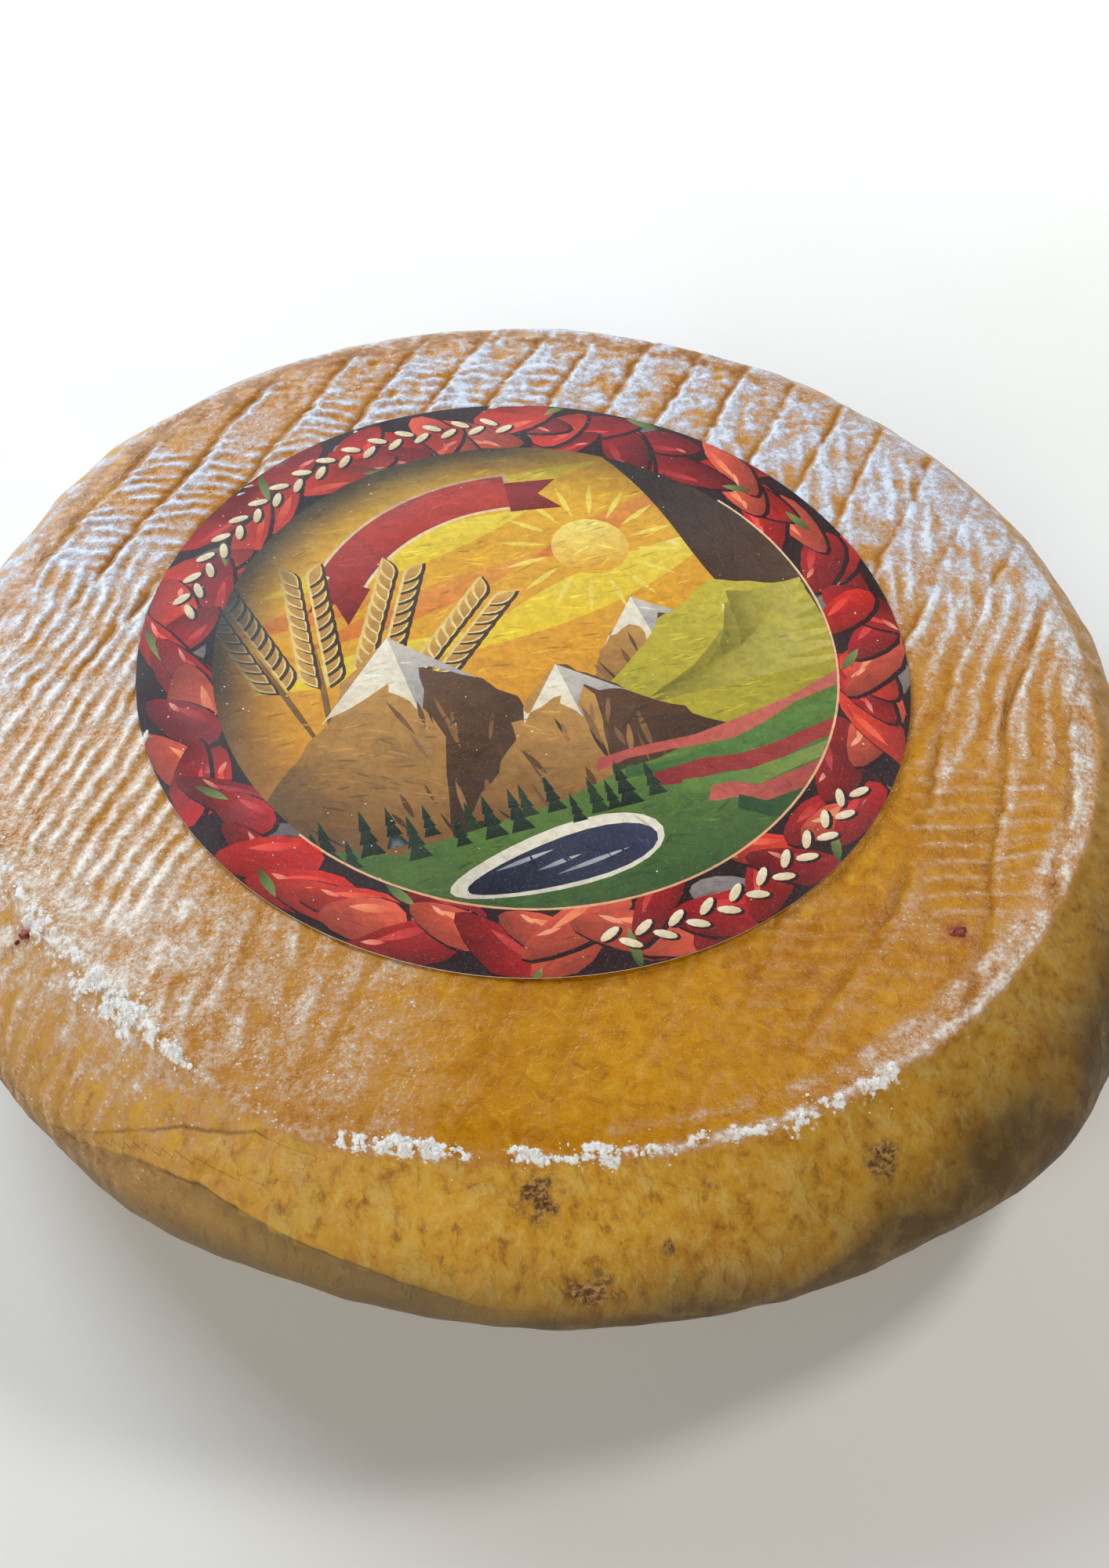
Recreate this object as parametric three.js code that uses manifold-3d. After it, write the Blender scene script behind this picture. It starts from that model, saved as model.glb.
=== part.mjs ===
// Whole washed-rind raclette cheese wheel with a round paper label on its top.
// Millimetres, +Z up. The wheel rests on z = 0 and the origin is under the middle of its box.

import * as THREE from "three";
import Module from "manifold-3d";
import { mergeVertices } from "three/addons/utils/BufferGeometryUtils.js";

// Wheel, driving dimensions
const HEIGHT = 70;
const OUTLINE_RADIUS = 166;
const CREST_RADIUS = 146.8;
const WIDEST_HEIGHT = 36;
const FOOT_INSET = 35;
const LIP_WIDTH = 10;
const LIP_START_DROP = 0.3;
const LIP_DROP = 2;
const LIP_CURVE = 1.8;
const SHOULDER_REACH = 11;
const SHOULDER_FALL = 6.4;
const SHOULDER_FULLNESS = 16;
const FOOT_FULLNESS = 15.5;
const FOOT_REACH = 16;

// How far the outline and the crest stray from a circle: cosine and sine of 1, 2, 3, 4 turns
const OUTLINE_WAVES = [[-1.3, -0.9], [-0.8, 0.3], [-0.8, -1.3], [-1, 0]];
const CREST_WAVES = [[-2.7, 3], [1.5, 0.5], [0, 0.2]];
// Local bulges and worn stretches: centre and width in degrees, height outwards
const OUTLINE_BULGES = [[-38, 17, 6.5]];
const CREST_BULGES = [[-133, 8, -3.9], [-108, 10, 3.2]];

// Tessellation of the wheel
const SIDES = 112;
const PLATEAU_STEPS = [0.3, 0.6, 0.82];
const LIP_STEPS = 3;
const SHOULDER_STEPS = 7;
const FOOT_STEPS = 6;

// Prints of the shelf slats and of the cloth in the rind
const SLAT_ANGLE = 69;
const SLAT_SPACING = 15.93;
const SLAT_FIRST = -140.6;
const SLAT_COUNT = 18;
const SLAT_DEPTH = 0.8;
const SLAT_WIDTHS = [2.4, 0.9];
const SLAT_OVERRUN = 2;
const SLAT_END_STEPS = [3, 14];
const CLOTH_DEPTH = 0.45;
const CLOTH_WIDTHS = [0.9, 0.9];
const RIPPLE_SPACING = 4.6;
const RIPPLE_TILT = 3;
const RUNG_SPACING = 5.4;
const RUNG_TILT = 9;
const SLAT_MARGIN = 2.5;
const STRETCH_SAMPLES = 80;
const SHORTEST_STRETCH = 12;
const CLEAR_OF_LABEL = 2;
const CLEAR_OF_CREST = 5;
const CUT_HEADROOM = 1.5;
const SMALLEST_EDGE = 0.02;

// Paper label
const LABEL_RADIUS = 102.2;
const LABEL_CENTRE = new THREE.Vector2(-6.4, 4.9);
const LABEL_THICKNESS = 0.4;
const LABEL_GAP = 0.1;
const LABEL_SIDES = 96;
const LABEL_RINGS = 3;

const RIND_COLOUR = 0xc48a2e;
const RIND_ROUGHNESS = 0.5;
const LABEL_COLOUR = 0xa8352c;
const LABEL_ROUGHNESS = 0.4;

const wasm = await Module();
wasm.setup();

const toRadians = THREE.MathUtils.degToRad;

function turnsBetween(angle, centre) {
  return THREE.MathUtils.euclideanModulo(angle - centre + Math.PI, 2 * Math.PI) - Math.PI;
}

function unevenRadius(angle, base, waves, bulges) {
  let radius = base;
  waves.forEach(([cosine, sine], index) => {
    radius += cosine * Math.cos((index + 1) * angle) + sine * Math.sin((index + 1) * angle);
  });
  for (const [centre, width, height] of bulges) {
    const away = turnsBetween(angle, toRadians(centre)) / toRadians(width);
    radius += height * Math.exp(-away * away);
  }
  return radius;
}

const outlineRadius = (angle) => unevenRadius(angle, OUTLINE_RADIUS, OUTLINE_WAVES, OUTLINE_BULGES);
const crestRadius = (angle) => unevenRadius(angle, CREST_RADIUS, CREST_WAVES, CREST_BULGES);

// The plateau is flat, the lip round it falls gently, and the crest is where the side starts.
function lipHeight(share) {
  return HEIGHT - LIP_START_DROP - (LIP_DROP - LIP_START_DROP) * share ** LIP_CURVE;
}

function shoulderCurve(angle) {
  const crest = crestRadius(angle);
  const widest = outlineRadius(angle);
  const crestHeight = HEIGHT - LIP_DROP;
  return new THREE.CubicBezierCurve(
    new THREE.Vector2(crest, crestHeight),
    new THREE.Vector2(crest + SHOULDER_REACH, crestHeight - SHOULDER_FALL),
    new THREE.Vector2(widest, WIDEST_HEIGHT + SHOULDER_FULLNESS),
    new THREE.Vector2(widest, WIDEST_HEIGHT),
  );
}

function footCurve(angle) {
  const widest = outlineRadius(angle);
  const foot = widest - FOOT_INSET;
  return new THREE.CubicBezierCurve(
    new THREE.Vector2(widest, WIDEST_HEIGHT),
    new THREE.Vector2(widest, WIDEST_HEIGHT - FOOT_FULLNESS),
    new THREE.Vector2(foot + FOOT_REACH, 0),
    new THREE.Vector2(foot, 0),
  );
}

// Half section of the wheel at one angle, from near the top's middle to the edge of the flat foot
function halfSection(angle) {
  const lipStart = crestRadius(angle) - LIP_WIDTH;
  const points = PLATEAU_STEPS.map((share) => new THREE.Vector2(lipStart * share, HEIGHT));
  for (let step = 0; step < LIP_STEPS; step += 1) {
    const share = step / LIP_STEPS;
    points.push(new THREE.Vector2(lipStart + LIP_WIDTH * share, lipHeight(share)));
  }
  points.push(...shoulderCurve(angle).getPoints(SHOULDER_STEPS));
  points.push(...footCurve(angle).getPoints(FOOT_STEPS).slice(1));
  return points;
}

// Height of the upper side at a place on the plan
function surfaceHeight(x, y) {
  const angle = Math.atan2(y, x);
  const radius = Math.hypot(x, y);
  const crest = crestRadius(angle);
  if (radius <= crest - LIP_WIDTH) {
    return HEIGHT;
  }
  if (radius <= crest) {
    return lipHeight((radius - crest + LIP_WIDTH) / LIP_WIDTH);
  }
  const shoulder = shoulderCurve(angle);
  let low = 0;
  let high = 1;
  for (let step = 0; step < 24; step += 1) {
    const middle = (low + high) / 2;
    if (shoulder.getPoint(middle).x < radius) {
      low = middle;
    } else {
      high = middle;
    }
  }
  return shoulder.getPoint(low).y;
}

function geometryFrom(positions, triangles) {
  const geometry = new THREE.BufferGeometry();
  geometry.setAttribute("position", new THREE.Float32BufferAttribute(positions, 3));
  geometry.setIndex(triangles);
  return geometry;
}

// Closed skin over rings of equal length, from the first ring's middle to the last ring's middle
function skinOver(rings, firstMiddle, lastMiddle) {
  const count = rings[0].length;
  const points = rings.flat().concat([firstMiddle, lastMiddle]);
  const positions = points.flatMap((point) => [point.x, point.y, point.z]);
  const first = rings.length * count;
  const last = first + 1;
  const triangles = [];
  for (let side = 0; side < count; side += 1) {
    const next = (side + 1) % count;
    triangles.push(first, side, next);
    for (let row = 0; row + 1 < rings.length; row += 1) {
      const here = row * count;
      const below = here + count;
      triangles.push(here + side, below + side, below + next);
      triangles.push(here + side, below + next, here + next);
    }
    const end = (rings.length - 1) * count;
    triangles.push(last, end + next, end + side);
  }
  return geometryFrom(positions, triangles);
}

function wheelBlank() {
  const sections = [];
  for (let side = 0; side < SIDES; side += 1) {
    sections.push(halfSection((2 * Math.PI * side) / SIDES));
  }
  const rings = sections[0].map((unused, row) =>
    sections.map((section, side) => {
      const angle = (2 * Math.PI * side) / SIDES;
      const { x: radius, y: height } = section[row];
      return new THREE.Vector3(radius * Math.cos(angle), radius * Math.sin(angle), height);
    }),
  );
  return skinOver(rings, new THREE.Vector3(0, 0, HEIGHT), new THREE.Vector3(0, 0, 0));
}

// Closed wedge through triangular sections, each given clockwise as seen along the path
function wedgeAlong(positions) {
  const end = positions.length / 3 - 3;
  const triangles = [0, 2, 1, end, end + 1, end + 2];
  for (let here = 0; here < end; here += 1) {
    const beside = here % 3 === 2 ? here - 2 : here + 1;
    triangles.push(here, beside, beside + 3, here, beside + 3, here + 3);
  }
  return geometryFrom(positions, triangles);
}

// A cutter with a V section that follows the surface along a path on the plan
function grooveCutter(path, [leftWidth, rightWidth], depthAt) {
  const positions = [];
  path.forEach((point, index) => {
    const before = path[Math.max(index - 1, 0)];
    const after = path[Math.min(index + 1, path.length - 1)];
    const along = after.clone().sub(before).normalize();
    const right = new THREE.Vector2(along.y, -along.x);
    const ground = surfaceHeight(point.x, point.y);
    const flare = 1 + CUT_HEADROOM / depthAt(index);
    const leftEdge = point.clone().addScaledVector(right, -leftWidth * flare);
    const rightEdge = point.clone().addScaledVector(right, rightWidth * flare);
    positions.push(leftEdge.x, leftEdge.y, ground + CUT_HEADROOM);
    positions.push(rightEdge.x, rightEdge.y, ground + CUT_HEADROOM);
    positions.push(point.x, point.y, ground - depthAt(index));
  });
  return wedgeAlong(positions);
}

const slatDirection = new THREE.Vector2(Math.cos(toRadians(SLAT_ANGLE)), Math.sin(toRadians(SLAT_ANGLE)));
const slatNormal = new THREE.Vector2(slatDirection.y, -slatDirection.x);

// Farthest place along a slat line, from its middle, that is still inside the crest
function reachToCrest(offset, sign) {
  let reach = 0;
  const point = new THREE.Vector2();
  do {
    reach += 0.5;
    point.copy(slatNormal).multiplyScalar(offset).addScaledVector(slatDirection, sign * reach);
  } while (point.length() < crestRadius(point.angle()));
  return reach;
}

function slatCutters() {
  const cutters = [];
  for (let slat = 0; slat < SLAT_COUNT; slat += 1) {
    const offset = SLAT_FIRST + slat * SLAT_SPACING;
    const back = reachToCrest(offset, 1);
    const front = reachToCrest(offset, -1);
    const [nearEnd, farEnd] = SLAT_END_STEPS;
    const frontStations = [-front - SLAT_OVERRUN, nearEnd - front, farEnd - front];
    const backStations = [back - farEnd, back - nearEnd, back + SLAT_OVERRUN];
    const stations = [...frontStations, (back - front) / 2, ...backStations];
    const path = stations.map((along) =>
      slatNormal.clone().multiplyScalar(offset).addScaledVector(slatDirection, along),
    );
    cutters.push(grooveCutter(path, SLAT_WIDTHS, () => SLAT_DEPTH));
  }
  return cutters;
}

// Creases that the cloth left across the strip beside a slat line, one above the other
function crossCreases(slat, alongFrom, alongTo, spacing, tilt) {
  const cutters = [];
  const across = new THREE.Vector2(Math.cos(toRadians(tilt)), Math.sin(toRadians(tilt)));
  const offset = SLAT_FIRST + slat * SLAT_SPACING + SLAT_MARGIN;
  const length = (SLAT_SPACING - 2 * SLAT_MARGIN) / across.dot(slatNormal);
  for (let along = alongFrom; along < alongTo; along += spacing) {
    const start = slatNormal.clone().multiplyScalar(offset).addScaledVector(slatDirection, along);
    const path = [0, 0.5, 1].map((share) => start.clone().addScaledVector(across, length * share));
    const depthAt = (index) => (index === 1 ? CLOTH_DEPTH : CLOTH_DEPTH / 2);
    cutters.push(grooveCutter(path, CLOTH_WIDTHS, depthAt));
  }
  return cutters;
}

// The stretch of a straight line that lies in the open ring between the label and the crest
function openStretch(from, to) {
  const inside = [];
  for (let step = 0; step <= STRETCH_SAMPLES; step += 1) {
    const point = from.clone().lerp(to, step / STRETCH_SAMPLES);
    const clearOfLabel = point.distanceTo(LABEL_CENTRE) > LABEL_RADIUS + CLEAR_OF_LABEL;
    const clearOfCrest = point.length() < crestRadius(point.angle()) - CLEAR_OF_CREST;
    if (clearOfLabel && clearOfCrest) {
      inside.push(point);
    } else if (inside.length > 0) {
      break;
    }
  }
  return inside.length >= SHORTEST_STRETCH ? [inside[0], inside.at(-1)] : null;
}

// Long creases side by side, through places on one level and leaning to the right by an angle
function longCreases({ fromX, toX, level, spacing, angle, below, above }) {
  const cutters = [];
  const lean = 1 / Math.tan(toRadians(angle));
  for (let x = fromX; x <= toX; x += spacing) {
    const low = new THREE.Vector2(x - below * lean, level - below);
    const high = new THREE.Vector2(x + above * lean, level + above);
    const stretch = openStretch(low, high);
    if (stretch) {
      const path = [0, 0.33, 0.67, 1].map((share) => stretch[0].clone().lerp(stretch[1], share));
      cutters.push(grooveCutter(path, CLOTH_WIDTHS, () => CLOTH_DEPTH));
    }
  }
  return cutters;
}

// Where the cross creases are: slat line, and the stretch along it
const RIPPLES = [[0, -20, 28], [1, -8, 42], [2, 18, 74], [3, 46, 96], [4, 68, 108], [5, 86, 118]];
const RUNGS = [[15, -40, 8], [16, -20, 16]];
const LEFT_CREASES = { fromX: -138, toX: -92, level: -15, spacing: 4.7, angle: 73, below: 50, above: 45 };
const RIGHT_CREASES = { fromX: 100, toX: 136, level: 0, spacing: 6.4, angle: 74, below: 12, above: 50 };
const BACK_CREASES = { fromX: 58, toX: 118, level: 60, spacing: 6.2, angle: 92, below: 20, above: 50 };

function clothCutters() {
  return [
    ...RIPPLES.flatMap(([slat, from, to]) => crossCreases(slat, from, to, RIPPLE_SPACING, RIPPLE_TILT)),
    ...RUNGS.flatMap(([slat, from, to]) => crossCreases(slat, from, to, RUNG_SPACING, RUNG_TILT)),
    ...longCreases(LEFT_CREASES),
    ...longCreases(RIGHT_CREASES),
    ...longCreases(BACK_CREASES),
  ];
}

// Crease of the pressing cloth round the left side, as angle in degrees and height
const SEAM = [[-129, 42], [-121, 51], [-115, 54], [-109, 51], [-99, 45], [-91, 40]];
const SEAM_WIDTH = 1.6;
const SEAM_UPPER_WIDTH = 4.6;
const SEAM_DEPTH = 0.9;
const SEAM_HEADROOM = 3.5;

function sideRadius(angle, height) {
  const curve = height > WIDEST_HEIGHT ? shoulderCurve(angle) : footCurve(angle);
  const points = curve.getPoints(40);
  const nearest = points.reduce((best, point) =>
    Math.abs(point.y - height) < Math.abs(best.y - height) ? point : best,
  );
  return nearest.x;
}

function seamCutter() {
  const positions = [];
  for (const [degrees, height] of SEAM) {
    const angle = toRadians(degrees);
    const radius = sideRadius(angle, height);
    const outer = radius + SEAM_HEADROOM;
    const inner = radius - SEAM_DEPTH;
    positions.push(outer * Math.cos(angle), outer * Math.sin(angle), height + SEAM_UPPER_WIDTH);
    positions.push(outer * Math.cos(angle), outer * Math.sin(angle), height - SEAM_WIDTH);
    positions.push(inner * Math.cos(angle), inner * Math.sin(angle), height);
  }
  return wedgeAlong(positions);
}

// Crusty pits in the front of the side: angle in degrees, height, radius and depth
const PITS = [[-87.5, 64, 5, 1.6], [-57.5, 59, 4.5, 1.4], [-83.5, 47, 5.5, 1.3]];
const PIT_FLATTENING = 0.6;

function pitCutters() {
  return PITS.map(([degrees, height, size, depth]) => {
    const angle = toRadians(degrees);
    const pit = new THREE.IcosahedronGeometry(size, 1);
    const lift = size - depth;
    const radius = sideRadius(angle, height) + lift;
    pit.scale(1, 1, PIT_FLATTENING);
    pit.translate(radius * Math.cos(angle), radius * Math.sin(angle), height);
    pit.deleteAttribute("normal");
    pit.deleteAttribute("uv");
    return pit;
  });
}

function toManifold(geometry) {
  const merged = mergeVertices(geometry);
  return new wasm.Manifold(
    new wasm.Mesh({
      numProp: 3,
      vertProperties: Float32Array.from(merged.attributes.position.array),
      triVerts: Uint32Array.from(merged.index.array),
    }),
  );
}

function fromManifold(solid) {
  const mesh = solid.getMesh();
  return geometryFrom(Array.from(mesh.vertProperties), Array.from(mesh.triVerts));
}

function wheelGeometry() {
  let solid = toManifold(wheelBlank());
  for (const cutter of [...slatCutters(), ...clothCutters(), ...pitCutters(), seamCutter()]) {
    solid = solid.subtract(toManifold(cutter));
  }
  return fromManifold(solid.simplify(SMALLEST_EDGE));
}

function labelGeometry() {
  const rings = [];
  const addRing = (share, lift) => {
    const ring = [];
    for (let side = 0; side < LABEL_SIDES; side += 1) {
      const angle = (2 * Math.PI * side) / LABEL_SIDES;
      const x = LABEL_CENTRE.x + LABEL_RADIUS * share * Math.cos(angle);
      const y = LABEL_CENTRE.y + LABEL_RADIUS * share * Math.sin(angle);
      ring.push(new THREE.Vector3(x, y, HEIGHT + LABEL_GAP + lift));
    }
    rings.push(ring);
  };
  for (let ring = 1; ring <= LABEL_RINGS; ring += 1) {
    addRing(ring / LABEL_RINGS, LABEL_THICKNESS);
  }
  for (let ring = LABEL_RINGS; ring >= 1; ring -= 1) {
    addRing(ring / LABEL_RINGS, 0);
  }
  const middle = (lift) => new THREE.Vector3(LABEL_CENTRE.x, LABEL_CENTRE.y, HEIGHT + LABEL_GAP + lift);
  return skinOver(rings, middle(LABEL_THICKNESS), middle(0));
}

function namedMesh(name, geometry, colour, roughness) {
  const flat = geometry.toNonIndexed();
  flat.computeVertexNormals();
  const material = new THREE.MeshStandardMaterial({ color: colour, roughness, metalness: 0 });
  const mesh = new THREE.Mesh(flat, material);
  mesh.name = name;
  return mesh;
}

const group = new THREE.Group();
group.add(namedMesh("wheel", wheelGeometry(), RIND_COLOUR, RIND_ROUGHNESS));
group.add(namedMesh("label", labelGeometry(), LABEL_COLOUR, LABEL_ROUGHNESS));

const box = new THREE.Box3().setFromObject(group);
group.position.set(-(box.min.x + box.max.x) / 2, -(box.min.y + box.max.y) / 2, 0);
group.updateMatrixWorld(true);

export default group;
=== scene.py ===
# %% [markdown]
# # A raclette wheel with a paper label
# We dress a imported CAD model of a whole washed-rind cheese. The CAD gives every size. Here in Blender
# we add what makes it look like cheese: the fine prints of cloth and shelf in the rind, the dry bloom,
# the crumbs, the printed label and the light.

# %% Load the frame
import math

import bpy
import numpy as np
from mathutils import Matrix, Vector
from mathutils.geometry import delaunay_2d_cdt


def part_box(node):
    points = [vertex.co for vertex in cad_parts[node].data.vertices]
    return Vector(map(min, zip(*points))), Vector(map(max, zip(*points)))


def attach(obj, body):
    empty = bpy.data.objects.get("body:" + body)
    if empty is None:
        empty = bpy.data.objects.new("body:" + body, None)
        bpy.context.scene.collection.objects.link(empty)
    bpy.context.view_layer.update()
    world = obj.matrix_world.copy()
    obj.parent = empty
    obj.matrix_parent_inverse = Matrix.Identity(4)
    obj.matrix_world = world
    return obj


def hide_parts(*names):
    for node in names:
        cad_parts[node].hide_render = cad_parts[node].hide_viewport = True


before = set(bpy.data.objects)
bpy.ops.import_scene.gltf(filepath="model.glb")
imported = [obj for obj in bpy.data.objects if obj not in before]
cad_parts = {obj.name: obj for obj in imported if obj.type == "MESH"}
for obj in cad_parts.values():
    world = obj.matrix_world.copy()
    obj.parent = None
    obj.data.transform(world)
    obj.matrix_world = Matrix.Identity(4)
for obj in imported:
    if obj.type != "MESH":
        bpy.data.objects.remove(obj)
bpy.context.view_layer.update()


# %% [markdown]
# ## Working in millimetres
# The rind was measured in millimetres round the middle of the wheel's crest, which isn't quite the
# middle of the CAD box. The label tells us where that middle lies, so one small shift takes us from
# the measured plan to the frame.

# %% Millimetres to metres
MM = 0.001
LABEL_CENTRE = np.array([-6.4, 4.9])
LABEL_RADIUS = 102.2
label_low, label_high = (np.array(corner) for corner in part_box("label"))
PLAN_SHIFT = (label_low + label_high)[:2] / 2 / MM - LABEL_CENTRE
TOP_LIMIT = label_high[2] / MM
print("plan shift in mm", PLAN_SHIFT, "top limit", TOP_LIMIT)


def to_frame(points):
    """Points of the measured plan, in millimetres, as metres in the frame."""
    moved = np.array(points, dtype=float)
    moved[:, 0] += PLAN_SHIFT[0]
    moved[:, 1] += PLAN_SHIFT[1]
    return moved * MM


# %% [markdown]
# ## Soft steps
# A zone of the rind has no hard edge. `smooth` climbs gently from 0 to 1 between two values, `gate`
# is 1 between two values and fades out on both sides, and `bump` is a soft hill. Everything that is
# only in one place on the rind is multiplied by one of these.

# %% Soft steps
def smooth(low, high, value):
    share = np.clip((value - low) / (high - low), 0.0, 1.0)
    return share * share * (3.0 - 2.0 * share)


def gate(value, low, high, soft):
    return smooth(low - soft, low + soft, value) * (1.0 - smooth(high - soft, high + soft, value))


def bump(value, centre, width):
    return np.exp(-(((value - centre) / width) ** 2))


print("a quarter of the way up a soft step:", smooth(0.0, 1.0, 0.25))


# %% [markdown]
# ## Unevenness that is the same each time
# Adding up a few dozen waves in seeded directions gives a soft random field. It has one typical
# wavelength, it is cheap, and it never repeats in a way that the eye can find.

# %% A seeded random field
FIELD_WAVES = 28


def field(points, wavelength, seed):
    """About -2 to 2 over points (n, 2) or (n, 3) in millimetres, with bumps of the given wavelength."""
    random = np.random.default_rng(seed)
    total = np.zeros(len(points))
    for _ in range(FIELD_WAVES):
        direction = random.normal(size=points.shape[1])
        direction /= np.linalg.norm(direction)
        number = 2 * math.pi / (wavelength * random.uniform(0.75, 1.35))
        total += np.cos(points @ (direction * number) + random.uniform(0, 2 * math.pi))
    return total / math.sqrt(FIELD_WAVES / 2)


sample_places = np.random.default_rng(1).uniform(0, 99, (999, 2))
print("a field spreads by about", round(float(field(sample_places, 9, 2).std()), 2))


# %% [markdown]
# ## The camera
# The photograph looks down on the wheel from close by, about 51 degrees above the table, slightly
# turned. Its place was solved from the round label and the rim. The camera's axes are written
# straight into its matrix: right, up and back.

# %% Camera
CAMERA_PLACE = (0.00553, -0.32218, 0.41858)
CAMERA_ELEVATION = math.radians(50.95)
CAMERA_ROLL = math.radians(4.05)
CAMERA_LENS = 41.11
CAMERA_SENSOR = 36.0


def photo_camera():
    right = Vector((1, 0, 0))
    up = Vector((0, math.sin(CAMERA_ELEVATION), math.cos(CAMERA_ELEVATION)))
    back = Vector((0, -math.cos(CAMERA_ELEVATION), math.sin(CAMERA_ELEVATION)))
    cosine = math.cos(CAMERA_ROLL)
    sine = math.sin(CAMERA_ROLL)
    turned_right = cosine * right + sine * up
    turned_up = cosine * up - sine * right
    data = bpy.data.cameras.new("photo_camera")
    data.sensor_fit = "VERTICAL"
    data.sensor_height = CAMERA_SENSOR
    data.lens = CAMERA_LENS
    data.clip_start = 0.01
    data.clip_end = 20
    camera = bpy.data.objects.new("photo_camera", data)
    turn = Matrix((turned_right, turned_up, back)).transposed().to_4x4()
    camera.matrix_world = Matrix.Translation(CAMERA_PLACE) @ turn
    bpy.context.collection.objects.link(camera)
    return camera


bpy.context.scene.camera = photo_camera()
print("camera at", CAMERA_PLACE, "lens", CAMERA_LENS)


# %% [markdown]
# ## Small tools for materials
# A procedural material is a graph of nodes. These helpers add one node each and return its output, so
# that a material reads from top to bottom like a recipe. Colours are picked as ordinary screen
# colours and turned into the linear values that the renderer wants.

# %% Helpers for node materials
def linear(red, green, blue):
    """A screen colour of 0 to 255 as a linear colour with alpha."""
    values = []
    for value in (red, green, blue):
        share = value / 255
        values.append(share / 12.92 if share <= 0.04045 else ((share + 0.055) / 1.055) ** 2.4)
    return (*values, 1.0)


class Recipe:
    """A material that is built node by node."""

    def __init__(self, name):
        self.material = bpy.data.materials.new(name)
        self.material.use_nodes = True
        self.tree = self.material.node_tree
        self.surface = self.tree.nodes["Principled BSDF"]
        self.place = self.add("ShaderNodeTexCoord").outputs["Object"]

    def add(self, kind):
        return self.tree.nodes.new(kind)

    def feed(self, socket, value):
        if isinstance(value, bpy.types.NodeSocket):
            self.tree.links.new(value, socket)
        else:
            socket.default_value = value

    def stretched(self, scale):
        node = self.add("ShaderNodeMapping")
        self.feed(node.inputs["Vector"], self.place)
        node.inputs["Scale"].default_value = scale
        return node.outputs["Vector"]

    def noise(self, scale, detail=3.0, roughness=0.55, distortion=0.0, vector=None):
        node = self.add("ShaderNodeTexNoise")
        self.feed(node.inputs["Vector"], vector or self.place)
        node.inputs["Scale"].default_value = scale
        node.inputs["Detail"].default_value = detail
        node.inputs["Roughness"].default_value = roughness
        node.inputs["Distortion"].default_value = distortion
        return node.outputs["Fac"]

    def cells(self, scale):
        node = self.add("ShaderNodeTexVoronoi")
        self.feed(node.inputs["Vector"], self.place)
        node.inputs["Scale"].default_value = scale
        return node.outputs["Distance"]

    def attribute(self, name, output="Fac"):
        node = self.add("ShaderNodeAttribute")
        node.attribute_name = name
        return node.outputs[output]

    def ramp(self, value, low, high, to_low=0.0, to_high=1.0):
        node = self.add("ShaderNodeMapRange")
        self.feed(node.inputs["Value"], value)
        node.inputs["From Min"].default_value = low
        node.inputs["From Max"].default_value = high
        node.inputs["To Min"].default_value = to_low
        node.inputs["To Max"].default_value = to_high
        return node.outputs["Result"]

    def maths(self, operation, first, second=0.0, clamp=False):
        node = self.add("ShaderNodeMath")
        node.operation = operation
        node.use_clamp = clamp
        self.feed(node.inputs[0], first)
        self.feed(node.inputs[1], second)
        return node.outputs["Value"]

    def times(self, first, second):
        return self.maths("MULTIPLY", first, second)

    def plus(self, first, second, clamp=False):
        return self.maths("ADD", first, second, clamp)

    def mix(self, factor, first, second, blend="MIX"):
        node = self.add("ShaderNodeMix")
        node.data_type = "RGBA"
        node.blend_type = blend
        self.feed(node.inputs[0], factor)
        self.feed(node.inputs[6], first)
        self.feed(node.inputs[7], second)
        return node.outputs[2]

    def relief(self, height, strength, distance):
        node = self.add("ShaderNodeBump")
        self.feed(node.inputs["Height"], height)
        node.inputs["Strength"].default_value = strength
        node.inputs["Distance"].default_value = distance
        return node.outputs["Normal"]

    def finish(self, colour, roughness, normal=None, **constants):
        self.feed(self.surface.inputs["Base Color"], colour)
        self.feed(self.surface.inputs["Roughness"], roughness)
        if normal is not None:
            self.feed(self.surface.inputs["Normal"], normal)
        for name, value in constants.items():
            self.surface.inputs[name.replace("_", " ")].default_value = value
        return self.material


print("helpers ready")


# %% [markdown]
# ## The form of the wheel
# A pressed wheel isn't a perfect disc. Its outline and the crest where the top meets the side each
# wander a little, and both are written as a circle plus a few slow waves and local bulges, each with
# its direction in degrees, width and height. Between them, the shoulder and the foot are two curves.
# These are the same rules as in the CAD, so the dressed wheel fills the very same space.

# %% Outline and crest
WHEEL_HEIGHT = 70.0
OUTLINE = (166.0, [(-1.3, -0.9), (-0.8, 0.3), (-0.8, -1.3), (-1.0, 0.0)], [(-38, 17, 6.5)])
CREST = (146.8, [(-2.7, 3.0), (1.5, 0.5), (0.0, 0.2)], [(-133, 8, -3.9), (-108, 10, 3.2)])


def uneven_radius(angle, shape):
    base, waves, bulges = shape
    radius = np.full_like(angle, base)
    for turn, (cosine, sine) in enumerate(waves, start=1):
        radius += cosine * np.cos(turn * angle) + sine * np.sin(turn * angle)
    for centre, width, height in bulges:
        away = (np.degrees(angle) - centre + 180) % 360 - 180
        radius += height * bump(away, 0, width)
    return radius


def bezier(points, share):
    """A cubic curve through arrays of control points (radius, height), at arrays of shares."""
    rest = 1 - share
    weights = (rest**3, 3 * rest**2 * share, 3 * rest * share**2, share**3)
    radius = sum(weight * point[0] for weight, point in zip(weights, points))
    height = sum(weight * point[1] for weight, point in zip(weights, points))
    return radius, height


front_turn = np.array([-math.pi / 2])
print("crest radius at the front", round(float(uneven_radius(front_turn, CREST)[0]), 1), "mm")


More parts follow.
